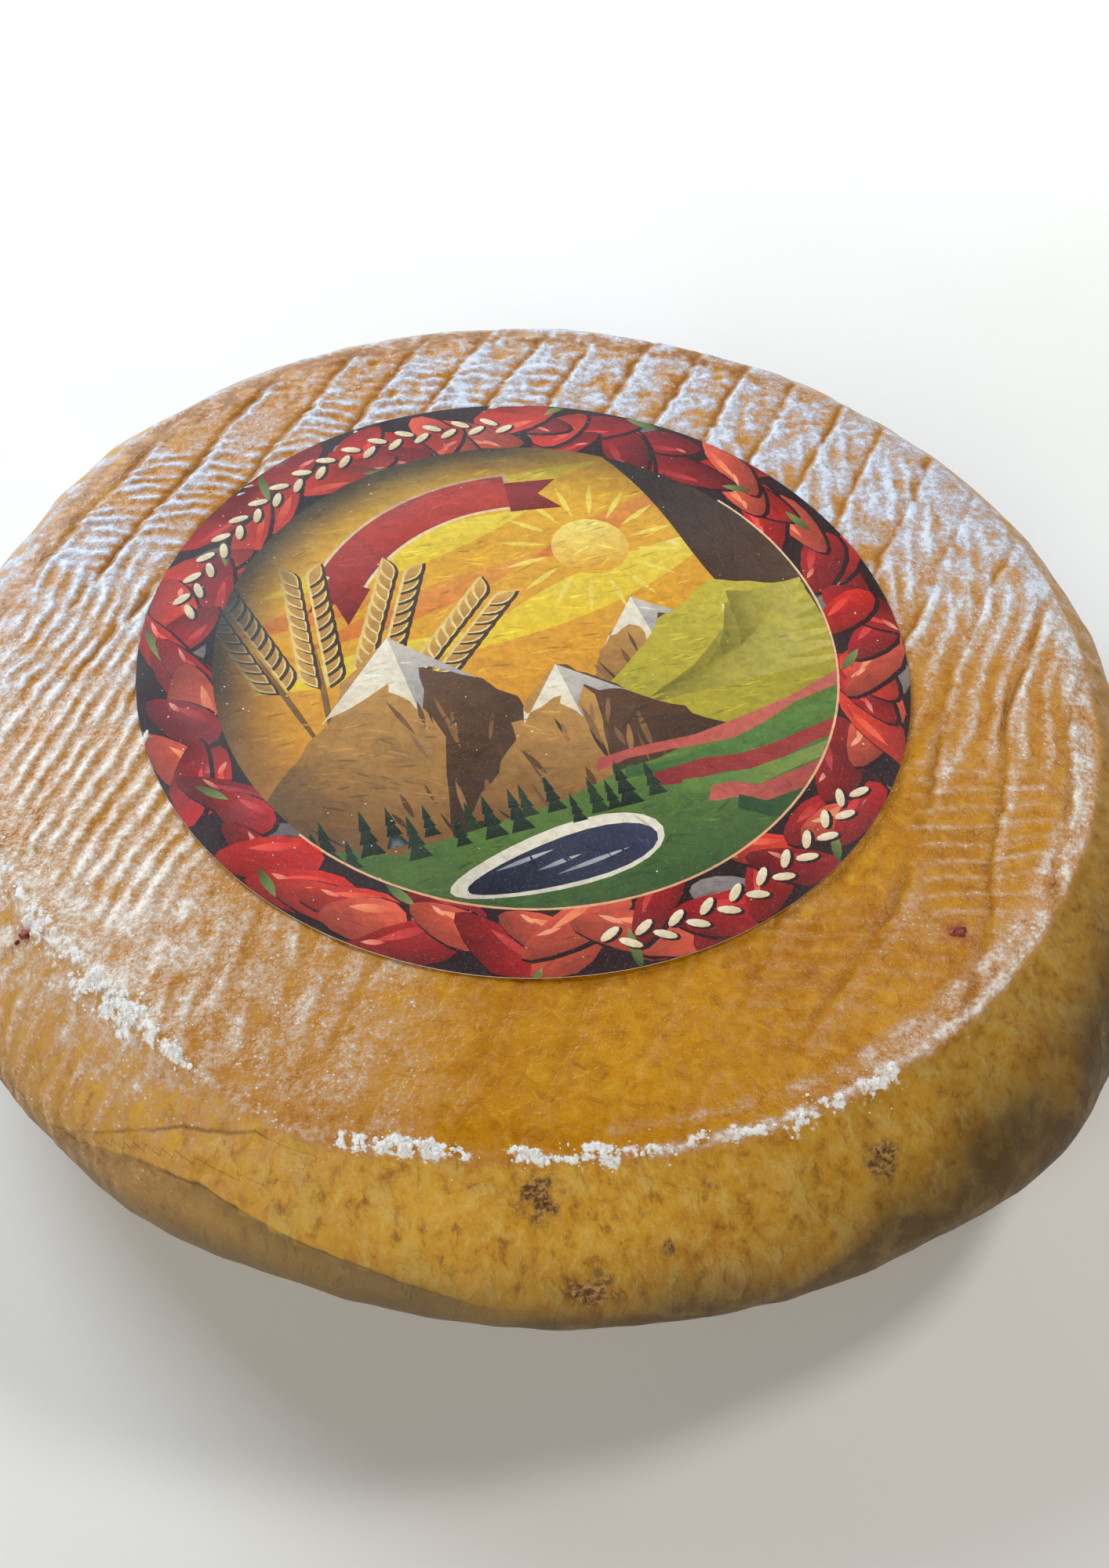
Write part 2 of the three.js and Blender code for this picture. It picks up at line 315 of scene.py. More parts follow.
# %% [markdown]
# ## A lattice over the wheel
# The prints in the rind are only a few millimetres apart, so the top, the lip and the shoulder get a
# dense lattice of rings. The lower side is smoother and gets half as many points round. Under the
# label nothing shows, so a single ring does there.

# %% Lattice sizes
FINE_SIDES = 960
COARSE_SIDES = 480
TOP_ROWS = 56
LIP_ROWS = 11
SHOULDER_ROWS = 28
FINE_SHOULDER_ROWS = 21
FOOT_ROWS = 15
LIP_WIDTH = 10.0
LIP_CURVE = 1.75
CREST_HEIGHT = 68.0
SHOULDER_OUT = 11.0
SHOULDER_HEIGHT = WHEEL_HEIGHT - 8.4
BULGE_HEIGHT = 52.0
SHOULDER_CROWDING = 1.15
WIDEST_HEIGHT = 36.0
FOOT_BULGE_HEIGHT = 20.5
FOOT_TUCK = 19.0
RESTING_TUCK = 35.0
HIDDEN_RADIUS = 97.5
HIDDEN_DROP = 0.7
HIDDEN_HEIGHT = WHEEL_HEIGHT - HIDDEN_DROP


def label_edge_from_middle(angle, radius):
    """Distance from the plan's middle to a circle round the label's centre."""
    along = LABEL_CENTRE[0] * np.cos(angle) + LABEL_CENTRE[1] * np.sin(angle)
    return along + np.sqrt(radius**2 - (LABEL_CENTRE**2).sum() + along**2)


def ring_rows(angle):
    """Rows of (radius, height) from the hidden ring to the foot, for an array of angles."""
    crest = uneven_radius(angle, CREST)
    widest = uneven_radius(angle, OUTLINE)
    start = label_edge_from_middle(angle, HIDDEN_RADIUS)
    flat_end = crest - LIP_WIDTH

    def level(height):
        return np.full_like(angle, height)

    rows = [(start * 0.5, level(HIDDEN_HEIGHT))]
    for step in range(TOP_ROWS):
        rows.append((start + (flat_end - start) * step / TOP_ROWS, level(WHEEL_HEIGHT)))
    for step in range(LIP_ROWS):
        share = step / LIP_ROWS
        drop = (WHEEL_HEIGHT - CREST_HEIGHT) * share**LIP_CURVE
        rows.append((flat_end + LIP_WIDTH * share, level(WHEEL_HEIGHT) - drop))
    shoulder = (
        (crest, level(CREST_HEIGHT)),
        (crest + SHOULDER_OUT, level(SHOULDER_HEIGHT)),
        (widest, level(BULGE_HEIGHT)),
        (widest, level(WIDEST_HEIGHT)),
    )
    for step in range(SHOULDER_ROWS):
        rows.append(bezier(shoulder, (step / SHOULDER_ROWS) ** SHOULDER_CROWDING))
    foot = (
        (widest, level(WIDEST_HEIGHT)),
        (widest, level(FOOT_BULGE_HEIGHT)),
        (widest - FOOT_TUCK, level(0.0)),
        (widest - RESTING_TUCK, level(0.0)),
    )
    for step in range(FOOT_ROWS + 1):
        rows.append(bezier(foot, step / FOOT_ROWS))
    return rows


fine_rows = 1 + TOP_ROWS + LIP_ROWS + FINE_SHOULDER_ROWS
all_rows = 1 + TOP_ROWS + LIP_ROWS + SHOULDER_ROWS + FOOT_ROWS + 1
print("rows", all_rows, "of which fine", fine_rows)


# %% Points and outward directions of the lattice
def lattice(sides):
    """Positions and outward normals as arrays (rows, sides, 3), in plan millimetres."""
    angle = np.arange(sides) * 2 * math.pi / sides
    rows = ring_rows(angle)
    radius = np.array([row[0] for row in rows])
    height = np.array([row[1] for row in rows])
    places = np.stack([radius * np.cos(angle), radius * np.sin(angle), height], axis=-1)
    along_radius = np.gradient(radius, axis=0)
    along_height = np.gradient(height, axis=0)
    length = np.hypot(along_radius, along_height)
    outwards = -along_height / length
    upwards = along_radius / length
    normals = np.stack([outwards * np.cos(angle), outwards * np.sin(angle), upwards], axis=-1)
    return places, normals


def fine_then_coarse(fine, coarse):
    """The fine rows of one lattice and then the lower rows of the other, as one list of points."""
    return np.concatenate([fine[:fine_rows].reshape(-1, 3), coarse[fine_rows:].reshape(-1, 3)])


fine_places, fine_normals = lattice(FINE_SIDES)
coarse_places, coarse_normals = lattice(COARSE_SIDES)
places = fine_then_coarse(fine_places, coarse_places)
normals = fine_then_coarse(fine_normals, coarse_normals)
x, y, z = places.T
plan = places[:, :2]
radius = np.hypot(x, y)
angle = np.arctan2(y, x)
degrees = np.degrees(angle)
inside_crest = uneven_radius(angle, CREST) - radius
print("lattice points", len(places))


# %% [markdown]
# ## Prints of the shelf slats
# The young cheese sinks into the slats of its shelf. Each slat's edge stays as an amber groove, with
# a raised ridge just beyond it. The lines run side by side, so the distance across them is all
# we need. The line's own wobble and a local lean keep them from looking ruled. The foot lies inside
# the crest's outline too, so `upper_half` keeps the marks of the top away from it.

# %% Slat lines
SLAT_SPACING = 15.93
SLAT_FIRST = -140.6
SLAT_NORMAL = (0.9336, -0.3584)
RIGHT_LEAN = 0.184


def turned_gate(centre, half_width, soft):
    """1 within a range of directions round the wheel, in degrees."""
    away = np.abs((degrees - centre + 180) % 360 - 180)
    return 1 - smooth(half_width - soft, half_width + soft, away)


upper_half = smooth(30, 45, z)
top_side = smooth(-2.0, 1.0, inside_crest) * upper_half
lean = RIGHT_LEAN * smooth(60, 110, x) * (1 - smooth(-25, 30, y))
across = SLAT_NORMAL[0] * x + (SLAT_NORMAL[1] + lean) * y + 0.45 * field(plan, 38, 11)
across += 0.2 * field(plan, 9, 12)
slat_number = np.floor((across - SLAT_FIRST) / SLAT_SPACING)
past_line = (across - SLAT_FIRST) - slat_number * SLAT_SPACING
before_line = SLAT_SPACING - past_line
slat_strength = (
    0.14
    + 0.86 * turned_gate(115, 68, 16) * (1 - smooth(-110, -135, x) * 0.35)
    + 0.42 * turned_gate(18, 34, 14)
    + 0.3 * turned_gate(-30, 24, 14)
)
slat_strength = np.clip(slat_strength, 0, 1) * (0.85 + 0.25 * field(plan, 30, 13)) * top_side
groove = np.exp(-((before_line / 1.5) ** 2)) + np.exp(-((past_line / 0.7) ** 2))
groove = np.clip(groove, 0, 1) * np.clip(slat_strength, 0, 1.2)
ridge = (bump(past_line, 1.9, 0.95) + 0.25 * bump(past_line, 4.5, 3.0)) * np.clip(slat_strength, 0, 1.2)
print("deepest groove share", round(float(groove.max()), 2))


# %% [markdown]
# ## Prints of the cloth
# Between the slat lines the pressing cloth left bundles of small folds. At the upper left they lie
# across the slats like a ladder, at the left and right they run along them, and at the back
# the weave itself is printed. Each bundle is a wave with its own direction and spacing, multiplied by
# the zone that it lives in. The ladder starts and ends elsewhere in each strip between two slats.

# %% Folds across the slats, upper left
RIPPLE_SPACING = 4.7
RIPPLE_FROM = np.array([-60, -22, -8, 16, 44, 66, 84])
RIPPLE_TO = np.array([-40, 30, 44, 76, 98, 110, 120])
FACE_SHIFT = 0.75


def crest_of(phase, sharpness):
    """A wave from 0 to 1 whose crests grow narrow with sharpness."""
    return (0.5 + 0.5 * np.cos(phase)) ** sharpness


def lit_face(phase, shift):
    """Where a fold is pale: partly dry bloom, partly a painted highlight on its crest and painted light
    on the face on one side of it.
    """
    return 0.72 * crest_of(phase + shift, 1.3) + 0.72 * crest_of(phase, 7)


along_slat = -SLAT_NORMAL[1] * x + SLAT_NORMAL[0] * y
strip = np.clip(slat_number + 1, 0, 6).astype(int)
in_strips = (slat_number >= 0) & (slat_number <= 5)
ripple_zone = gate(along_slat, RIPPLE_FROM[strip], RIPPLE_TO[strip], 3.5)
ripple_zone = ripple_zone * in_strips * smooth(3, 9, inside_crest)
strip_phase = (strip * 2.4) % RIPPLE_SPACING
curl = -3.2 * np.exp(-past_line / 2.6)
ripple_level = y - 0.03 * x - curl + 0.7 * field(plan, 30, 21) + 0.3 * field(plan, 8, 24) + strip_phase
ripple_phase = 2 * math.pi * ripple_level / RIPPLE_SPACING
ripple_strength = np.clip(0.86 + 0.3 * field(plan, 15, 22) + 0.14 * field(plan, 5, 23), 0.15, 1.25)
ripple_reach = ripple_zone * smooth(0.2, 2.4, before_line) * ripple_strength
ripples = crest_of(ripple_phase, 1.8) * ripple_reach
ripple_lit_faces = lit_face(ripple_phase, -FACE_SHIFT) * ripple_reach
print("share of the points in ripples", round(float((ripple_zone > 0.5).mean()), 3))


# %% Long folds on the left, the right and at the back
def fold_phase(spacing, lean_angle, wobble, seed):
    """Folds side by side that lean from the vertical of the plan by a local angle in degrees."""
    radians = np.radians(lean_angle)
    distance = np.sin(radians) * x - np.cos(radians) * y + wobble * field(plan, 58, seed)
    distance += 0.24 * field(plan, 11, seed + 50)
    return 2 * math.pi * distance / spacing


left_lean = 74 - 10 * smooth(-5, 35, y)
left_zone = smooth(-72, -88, x) * gate(y, -88, 34, 13) * (1 - ripple_zone) * smooth(4, 14, inside_crest)
left_zone = left_zone * np.clip(0.8 + 0.32 * field(plan, 14, 32), 0.2, 1.2)
left_phase = fold_phase(4.8, left_lean, 1.5, 31)
low_left_patch = np.clip(0.6 + 0.3 * field(plan, 16, 34), 0, 1)
low_left_zone = gate(x, -94, -38, 10) * gate(y, -122, -84, 9) * low_left_patch
low_left_phase = fold_phase(6.2, np.full_like(x, 84.0), 1.6, 33)
right_zone = gate(x, 97, 140, 6) * gate(y, -26, 44, 12) * smooth(1, 6, inside_crest)
right_phase = fold_phase(6.4, np.full_like(x, 74.0), 1.2, 35)
back_patch = np.clip(0.66 + 0.42 * field(plan, 24, 37), 0, 1)
back_zone = gate(x, 44, 122, 9) * gate(y, 30, 106, 9) * back_patch * smooth(3, 12, inside_crest)
back_phase = fold_phase(4.7, 92 - 0.12 * (x - 80), 1.7, 38)
zones = (left_zone, low_left_zone, right_zone, back_zone)
print("zones cover", [round(float((zone > 0.5).mean()), 3) for zone in zones])


# %% Rungs on the right, and the weave at the back
RUNG_SPACING = 5.4
RUNG_TILT = math.radians(9)
FAINT_SPACING = 5.0
FAINT_TILT = 0.02
rung_level = y - np.tan(RUNG_TILT) * x + 0.5 * field(plan, 24, 41)
rung_zone = gate(x, 93, 129, 4) * gate(y, -76, -22, 6) * smooth(5, 11, inside_crest)
rungs = crest_of(2 * math.pi * rung_level / RUNG_SPACING, 2.6) * rung_zone
faint_zone = gate(x, 48, 104, 10) * gate(y, -112, -66, 9) * smooth(8, 16, inside_crest)
faint_level = y - FAINT_TILT * x + 0.6 * field(plan, 30, 42)
faint_rungs = crest_of(2 * math.pi * faint_level / FAINT_SPACING, 2.4) * faint_zone
weave_zone = smooth(88, 108, y) * smooth(4, 10, inside_crest)
weave = field(plan * np.array([0.45, 1.0]), 3.4, 43)
weave += 0.7 * field(plan * np.array([1.0, 0.4]), 3.8, 44)
weave *= weave_zone
print("rung points", int((rung_zone > 0.5).sum()), "weave points", int((weave_zone > 0.5).sum()))


# %% [markdown]
# ## The side
# The side was turned and washed by hand, so it is plainer: shallow dents of several sizes, upright
# wrinkles at the far left, creases where the cloth was folded, and a few crusty pits. Each crease is
# a path of angles and heights, and each point's distance to it gives the depth. `ARC` turns degrees
# round the side into millimetres. Each pit has an angle, a height, a size and a depth.

# %% Creases on the side
SEAM = [(-129, 42), (-121, 51), (-115, 54), (-109, 51), (-99, 45), (-91, 40)]
UPPER_SEAM = [(-128.5, 44), (-123, 55), (-118.5, 61.5), (-112, 66)]
RIGHT_SEAM = [(-82, 26), (-70, 33), (-58, 36), (-47, 35)]
SIDE_RADIUS = 163
ARC = math.radians(1) * SIDE_RADIUS
CREASE_REACH = 9.0
outside = 1 - smooth(-1.5, 0.5, inside_crest)


def distance_to_path(path):
    """Each point's distance on the side to a path of (degrees, height), and whether it is below it."""
    nearest = np.full(len(x), np.inf)
    below = np.zeros(len(x), dtype=bool)
    for (from_turn, from_height), (to_turn, to_height) in zip(path, path[1:]):
        start = np.array([from_turn * ARC, from_height])
        step = np.array([to_turn * ARC, to_height]) - start
        here = np.stack([degrees * ARC, z], axis=1) - start
        share = np.clip((here @ step) / (step @ step), 0, 1)
        gap = here - share[:, None] * step
        distance = np.hypot(gap[:, 0], gap[:, 1])
        closer = distance < nearest
        nearest = np.where(closer, distance, nearest)
        below = np.where(closer, gap[:, 1] < 0, below)
    return nearest, below


seam_distance, under_seam = distance_to_path(SEAM)
upper_distance, under_upper = distance_to_path(UPPER_SEAM)
right_distance, under_right = distance_to_path(RIGHT_SEAM)
seam = (np.exp(-((seam_distance / 1.3) ** 2)) + 0.5 * np.exp(-((upper_distance / 1.2) ** 2))) * outside
seam += 0.35 * np.exp(-((right_distance / 1.1) ** 2)) * outside
seam_step = np.exp(-seam_distance / 6) * under_seam * outside * turned_gate(-110, 20, 4)
seam_gap = np.where(under_seam, -seam_distance, seam_distance)
upper_gap = np.where(under_upper, -upper_distance, upper_distance)
right_gap = np.where(under_right, -right_distance, right_distance)
crease_gap = np.where(upper_distance < seam_distance, upper_gap, seam_gap)
crease_gap = np.where(right_distance < np.abs(crease_gap), right_gap, crease_gap)
crease_gap = np.clip(np.where(outside > 0.5, crease_gap, CREASE_REACH), -CREASE_REACH, CREASE_REACH)
print("crease points", int((seam > 0.5).sum()))


# %% Pits on the side
PITS = [(-87.5, 64, 4.2, 1.5), (-57.5, 59, 4.0, 1.3), (-83.5, 47, 5.6, 1.2), (-77, 55, 2.0, 0.7)]
pit_depth = np.zeros(len(x))
scar = np.zeros(len(x))
ragged = 1 + 0.28 * field(places, 4.2, 51)
for turn, height, size, depth in PITS:
    reach = np.hypot((degrees - turn) * ARC, (z - height) * 1.55) / (size * ragged)
    pit_depth += depth * np.exp(-(reach**2) * 1.4) * outside
    scar += np.exp(-(reach**2) * 1.1) * outside
scar = np.clip(scar, 0, 1)
print("scar points", int((scar > 0.5).sum()))


# %% [markdown]
# ## Dry residue
# Along the crest lie crumbs of dried smear, white and chalky. The thick patches are raised a little
# in the rind itself, and loose crumbs are scattered on them later. Each stroke has two ends on the
# plan, a half width and a strength.

# %% Strokes of residue
RESIDUE = [
    ((-132, -66), (-122, -82), 3.0, 0.42),
    ((-117, -88), (-101, -103), 3.0, 0.6),
    ((-99, -105), (-88, -113.5), 3.8, 1.1),
    ((-86, -115.5), (-75, -123), 2.2, 0.65),
    ((-36, -140.5), (-16, -141.3), 2.0, 1.0),
    ((-15, -141.5), (-8, -141.8), 1.2, 0.6),
    ((0, -141), (7, -140.8), 1.9, 0.75),
    ((10, -140.5), (22, -139.3), 2.1, 1.0),
    ((24, -139), (62, -128), 1.9, 0.42),
    ((62, -128), (84, -114), 2.6, 0.5),
]
powder = np.zeros(len(x))
speckle = field(places, 2.3, 61) + 0.8 * field(places, 5.5, 62)
for start, end, half_width, strength in RESIDUE:
    start = np.array(start, dtype=float)
    step = np.array(end, dtype=float) - start
    here = plan - start
    share = np.clip((here @ step) / (step @ step), 0, 1)
    gap = np.linalg.norm(here - share[:, None] * step, axis=1)
    powder = np.maximum(powder, strength * np.exp(-((gap / half_width) ** 2)))
powder *= smooth(WIDEST_HEIGHT + 20, WIDEST_HEIGHT + 28, z)
powder_patches = np.clip(powder * (1.1 + 0.75 * speckle), 0, 1)
print("powdered points", int((powder_patches > 0.5).sum()))


# %% [markdown]
# ## Moving the lattice
# Now every print is added up to one height per point, and each point is moved along its own outward
# direction. The top stays under the label's own height and nothing sinks below the floor.

# %% Height of the prints on the top
folds = 0.62 * ripples + 0.62 * crest_of(left_phase, 1.7) * left_zone
low_folds = 0.26 * crest_of(low_left_phase, 1.3) * low_left_zone
folds += low_folds + 0.44 * crest_of(right_phase, 1.4) * right_zone
folds += 0.5 * crest_of(back_phase, 1.5) * back_zone
folds += 0.34 * rungs + 0.14 * faint_rungs
plain_top = 0.1 * field(plan, 55, 71) + 0.06 * field(plan, 14, 72) + 0.035 * field(plan, 5, 73)
top_height = -0.6 + plain_top - 0.66 * groove + 0.36 * ridge + folds + 0.1 * weave
print("highest fold", round(float(folds.max()), 2), "mm")


# %% Height of the side
WRINKLE_SPACING = 5.6
WRINKLE_LEAN = 0.16
wrinkle_phase = 2 * math.pi * (degrees * ARC + WRINKLE_LEAN * z) / WRINKLE_SPACING
wrinkle_phase += 1.2 * field(places, 20, 81)
wrinkle_patches = np.clip(0.8 + 0.4 * field(places, 12, 85), 0, 1)
wrinkle_zone = turned_gate(-150, 27, 9) * gate(z, 34, 64, 7) * wrinkle_patches
wrinkles = 0.75 * (crest_of(wrinkle_phase, 1.6) - 0.4) * wrinkle_zone
side_height = -1.0 + 0.34 * field(places, 58, 82) + 0.16 * field(places, 20, 83)
side_height += 0.08 * field(places, 7.5, 84)
side_height += wrinkles - 0.95 * seam - 0.35 * seam_step - pit_depth
side_height *= smooth(1.5, 9, z)
print("side from", round(float(side_height.min()), 2), "to", round(float(side_height.max()), 2), "mm")


# %% One height for each point
crest_line = bump(inside_crest, 0.6, 1.6) * upper_half
lift = top_height * top_side + side_height * (1 - top_side) + 0.18 * crest_line
lift += 0.6 * powder_patches * (0.6 + 0.4 * field(places, 2.6, 91))
edge_dip = turned_gate(-42, 40, 18) * bump(radius, label_edge_from_middle(angle, LABEL_RADIUS), 9)
lift -= 0.5 * edge_dip * top_side
from_label = np.hypot(x - LABEL_CENTRE[0], y - LABEL_CENTRE[1])
under_label = 1 - smooth(98.5, 101.0, from_label)
lift = lift * (1 - under_label) - HIDDEN_DROP * under_label * (z > HIDDEN_HEIGHT)
moved = places + normals * lift[:, None]
moved[:, 2] = np.clip(moved[:, 2], 0, TOP_LIMIT)
print("relief from", round(float(lift.min()), 2), "to", round(float(lift.max()), 2), "mm")


# %% [markdown]
# ## Where the rind is pale, damp or stained
# The bloom is dry and pale on whatever stands proud and at the back of the wheel, while the front
# and the grooves stay amber. Part of this pale is painted light: a painted sheen at the back and
# along the right lip, painted highlights on the crests and lit faces of the folds, and a cool tone
# towards the back as a painted reflection of the window. The grooves stay amber partly as painted
# shade. One number per point carries this to the material: interpolated over the surface, it
# follows the relief exactly.

# %% Bloom and painted sheen in broad zones
# Painted sheen: the back is painted pale over the real dry bloom, where the window's reflection lies.
back_bloom_and_sheen = 0.66 * smooth(0, 92, y)
left_bloom = 0.41 * smooth(-55, -100, x) * gate(y, -118, 46, 22)
left_bloom += 0.2 * smooth(16, 4, inside_crest) * smooth(-60, -110, x) * smooth(80, 30, y)
left_bloom -= 0.3 * smooth(-20, -70, x) * smooth(24, 60, y)
right_bloom = 0.2 * smooth(60, 112, x) * gate(y, 12, 90, 20)
front_left = 0.3 * gate(x, -116, -18, 16) * gate(y, -146, -74, 13)
# Painted sheen along the right lip: pale streaks of painted highlight over a thin film of bloom, and a
# second, thinner painted band inside it.
along_crest = np.stack([degrees * ARC * 0.28, inside_crest * 0.5], axis=1)
lip_sheen_streaks = 0.86 + 0.2 * field(along_crest, 2.6, 104) + 0.22 * field(plan, 1.8, 105)
lip_sheen_streaks += 0.12 * field(plan, 12, 106)
right_lip_film_and_sheen = 0.6 * gate(inside_crest, 0, 8.5, 2.2) * turned_gate(-16, 38, 12)
right_lip_film_and_sheen += 0.8 * gate(inside_crest, -1.2, 2.2, 1.2) * turned_gate(-56, 22, 8)
second_sheen_band = 0.42 * bump(inside_crest, 6.5, 1.3) * turned_gate(-62, 18, 8)
bloom_and_sheen = back_bloom_and_sheen + left_bloom + right_bloom + front_left
bloom_and_sheen += (right_lip_film_and_sheen + second_sheen_band) * np.clip(lip_sheen_streaks, 0, 1.4)
bloom_and_sheen += (0.16 * field(plan, 13, 101) + 0.07 * field(plan, 4.5, 102)) * (0.15 + bloom_and_sheen)
print("broad bloom on top", round(float(bloom_and_sheen[top_side > 0.5].mean()), 2))


# %% Bloom and painted light on the prints
# The crest and the face of each fold turned to the window are painted pale: painted highlight and
# painted light over the dry bloom.
bloom_and_sheen += 0.78 * ripple_lit_faces + 0.8 * lit_face(left_phase, FACE_SHIFT) * left_zone
bloom_and_sheen += 0.4 * lit_face(low_left_phase, FACE_SHIFT) * low_left_zone
bloom_and_sheen += 0.5 * lit_face(right_phase, FACE_SHIFT) * right_zone
bloom_and_sheen += 0.6 * lit_face(back_phase, FACE_SHIFT) * back_zone - 0.16 * back_zone
# The ridge beside each slat line is painted paler and the groove kept amber: partly bloom and damp,
# partly painted highlight and painted shade.
bloom_and_sheen += 0.34 * rungs + 0.14 * faint_rungs + 0.62 * ridge + 0.12 * weave
bloom_and_sheen -= 0.75 * groove
print("with the prints", round(float(bloom_and_sheen[top_side > 0.5].mean()), 2))


# %% Damp rim, crest line with a painted highlight, and shoulder
lip = gate(inside_crest, 0.5, 9.5, 1.6)
rim_patches = np.clip(0.62 + 0.42 * field(plan, 9, 103) + 0.3 * field(plan, 3.2, 108), 0, 1)
amber_rim = lip * turned_gate(122, 58, 14) * rim_patches
bloom_and_sheen = bloom_and_sheen * (1 - 0.88 * amber_rim)
# Damp rim and slat grooves: real damp on the rim, and in the grooves partly painted shade.
damp_and_groove_shade = np.clip(groove + 1.1 * amber_rim * top_side, 0, 1)
# A pale line along the crest: dry residue at the front, and at the back left a painted highlight where
# the outline catches the window.
bloom_and_sheen += 0.5 * crest_line * (0.15 + 0.85 * turned_gate(138, 62, 20))
bloom_and_sheen += 0.12 * crest_line * turned_gate(-75, 50, 10)
bloom_and_sheen *= top_side
# Pale shoulder: bloom at the back; at the left the shoulder and side are painted paler as painted light
# from the window, with a painted highlight on each wrinkle's crest.
shoulder = (1 - top_side) * (1 - smooth(1, 26, -inside_crest)) * smooth(34, 54, z)
shoulder_bloom_and_light = 0.05 + 0.5 * turned_gate(-158, 40, 24) + 0.62 * turned_gate(92, 84, 26)
bloom_and_sheen += shoulder * shoulder_bloom_and_light * (0.8 + 0.3 * field(places, 8, 107))
bloom_and_sheen += (1 - top_side) * 0.22 * turned_gate(-156, 30, 20) * smooth(26, 48, z)
bloom_and_sheen += (1 - top_side) * 0.34 * crest_of(wrinkle_phase, 2.2) * wrinkle_zone
bloom_and_sheen = np.clip(bloom_and_sheen, 0, 1.12)
print("mean bloom on top", round(float(bloom_and_sheen[top_side > 0.5].mean()), 2))


# %% Painted cool sheen of the bloom, the grey parts of the side, and painted shade towards the foot
# Painted reflection: the bloom turns cool and blue towards the back, where the window is reflected, and
# stays warm at the left.
cool_sheen = smooth(-30, 84, y + 0.35 * np.abs(x + 20) * (x < -20) + 7 * field(plan, 20, 112))
greyness = (1 - top_side) * smooth(50, 22, z) * 0.86 * turned_gate(-136, 42, 20) + 0.4 * seam_step
greyness += 0.42 * np.exp(-seam_distance / 18) * under_seam * outside * turned_gate(-113, 22, 8)
greyness = np.clip(greyness, 0, 0.92)
# Painted shade: the side is darker towards the foot and over the front right, where it turns from the
# light.
painted_shade = (1 - top_side) * smooth(63, 27, z) * (0.95 + 0.3 * turned_gate(-18, 60, 30))
painted_shade += (1 - top_side) * 0.76 * turned_gate(-16, 44, 26) * (1 - 0.5 * smooth(52, 66, z))
painted_shade = np.clip(painted_shade * (1 + 0.1 * field(places, 30, 111)), 0, 0.95)
print("dark points", int((painted_shade > 0.5).sum()), "grey points", int((greyness > 0.5).sum()))


# %% The wheel as a closed mesh
def ring_faces(start_above, start_below, sides):
    """Quads between two rings with the same number of points."""
    here = np.arange(sides)
    beside = (here + 1) % sides
    quads = [start_above + here, start_below + here, start_below + beside, start_above + beside]
    return np.stack(quads, axis=1)


def step_down_faces(start_above, start_below, sides_below):
    """From a ring with twice the points down to a coarser one."""
    here = np.arange(sides_below)
    beside = (here + 1) % sides_below
    left = start_above + 2 * here
    middle = left + 1
    right = start_above + (2 * beside) % (2 * sides_below)
    below_left = start_below + here
    below_right = start_below + beside
    fans = [(left, below_left, middle), (middle, below_left, below_right), (middle, below_right, right)]
    return np.concatenate([np.stack(fan, axis=1) for fan in fans])


def wheel_faces():
    faces = []
    starts = [row * FINE_SIDES for row in range(fine_rows)]
    starts += [fine_rows * FINE_SIDES + row * COARSE_SIDES for row in range(all_rows - fine_rows)]
    for row in range(all_rows - 1):
        if row + 1 == fine_rows:
            faces += step_down_faces(starts[row], starts[row + 1], COARSE_SIDES).tolist()
        else:
            sides = FINE_SIDES if row + 1 < fine_rows else COARSE_SIDES
            faces += ring_faces(starts[row], starts[row + 1], sides).tolist()
    top_middle = len(places)
    bottom_middle = top_middle + 1
    faces += [(top_middle, side, (side + 1) % FINE_SIDES) for side in range(FINE_SIDES)]
    last = starts[-1]
    for side in range(COARSE_SIDES):
        faces.append((bottom_middle, last + (side + 1) % COARSE_SIDES, last + side))
    return faces


def piece_from(name, points, faces, material, smooth_faces=True):
    mesh = bpy.data.meshes.new(name)
    mesh.from_pydata(np.asarray(points).tolist(), [], faces)
    mesh.update()
    mesh.polygons.foreach_set("use_smooth", [smooth_faces] * len(mesh.polygons))
    mesh.materials.append(material)
    piece = bpy.data.objects.new(name, mesh)
    bpy.context.collection.objects.link(piece)
    return piece


def triangles_of(piece):
    return sum(len(polygon.vertices) - 2 for polygon in piece.data.polygons)


def keep_value(piece, name, values):
    layer = piece.data.attributes.new(name, "FLOAT", "POINT")
    layer.data.foreach_set("value", np.asarray(values, dtype=np.float32))


print("mesh helpers ready")


# %% [markdown]
# ## Stains
# Two flakes of dried chilli and a crumb of one stick to the rind, and each has let a little red into
# it. They are listed here with place, length, width and turn, because the stain belongs to the rind
# and the flakes are made later on the same spots.

# %% Where the flakes stick
FLAKES = [(-117.5, -91.5, 3.6, 2.8, 30), (102.0, -75.0, 4.6, 2.6, 12), (-119.6, -93.2, 1.4, 1.0, 70)]
STAIN_REACH = 0.62
stain = np.zeros(len(x))
for flake_x, flake_y, length, _, _ in FLAKES:
    reach = np.hypot(x - flake_x, y - flake_y) / (length * STAIN_REACH * ragged)
    stain = np.maximum(stain, 0.75 * np.exp(-(reach**2)) * (z > WIDEST_HEIGHT))
print("stained points", int((stain > 0.3).sum()))


# %% [markdown]
# ## The rind's finish
# Washed rind is amber, a little greasy, and slightly see-through, so light softens just under the
# surface. The material starts from amber and turns olive and brown down the side, with painted shade
# darkening it towards the foot and at the front right. The bloom_and_sheen attribute lays a pale dry
# film on top, with painted sheen, painted highlights and painted glints in it. Noise of several sizes
# breaks up every border, and the same noise drives the fine relief and how much it shines.

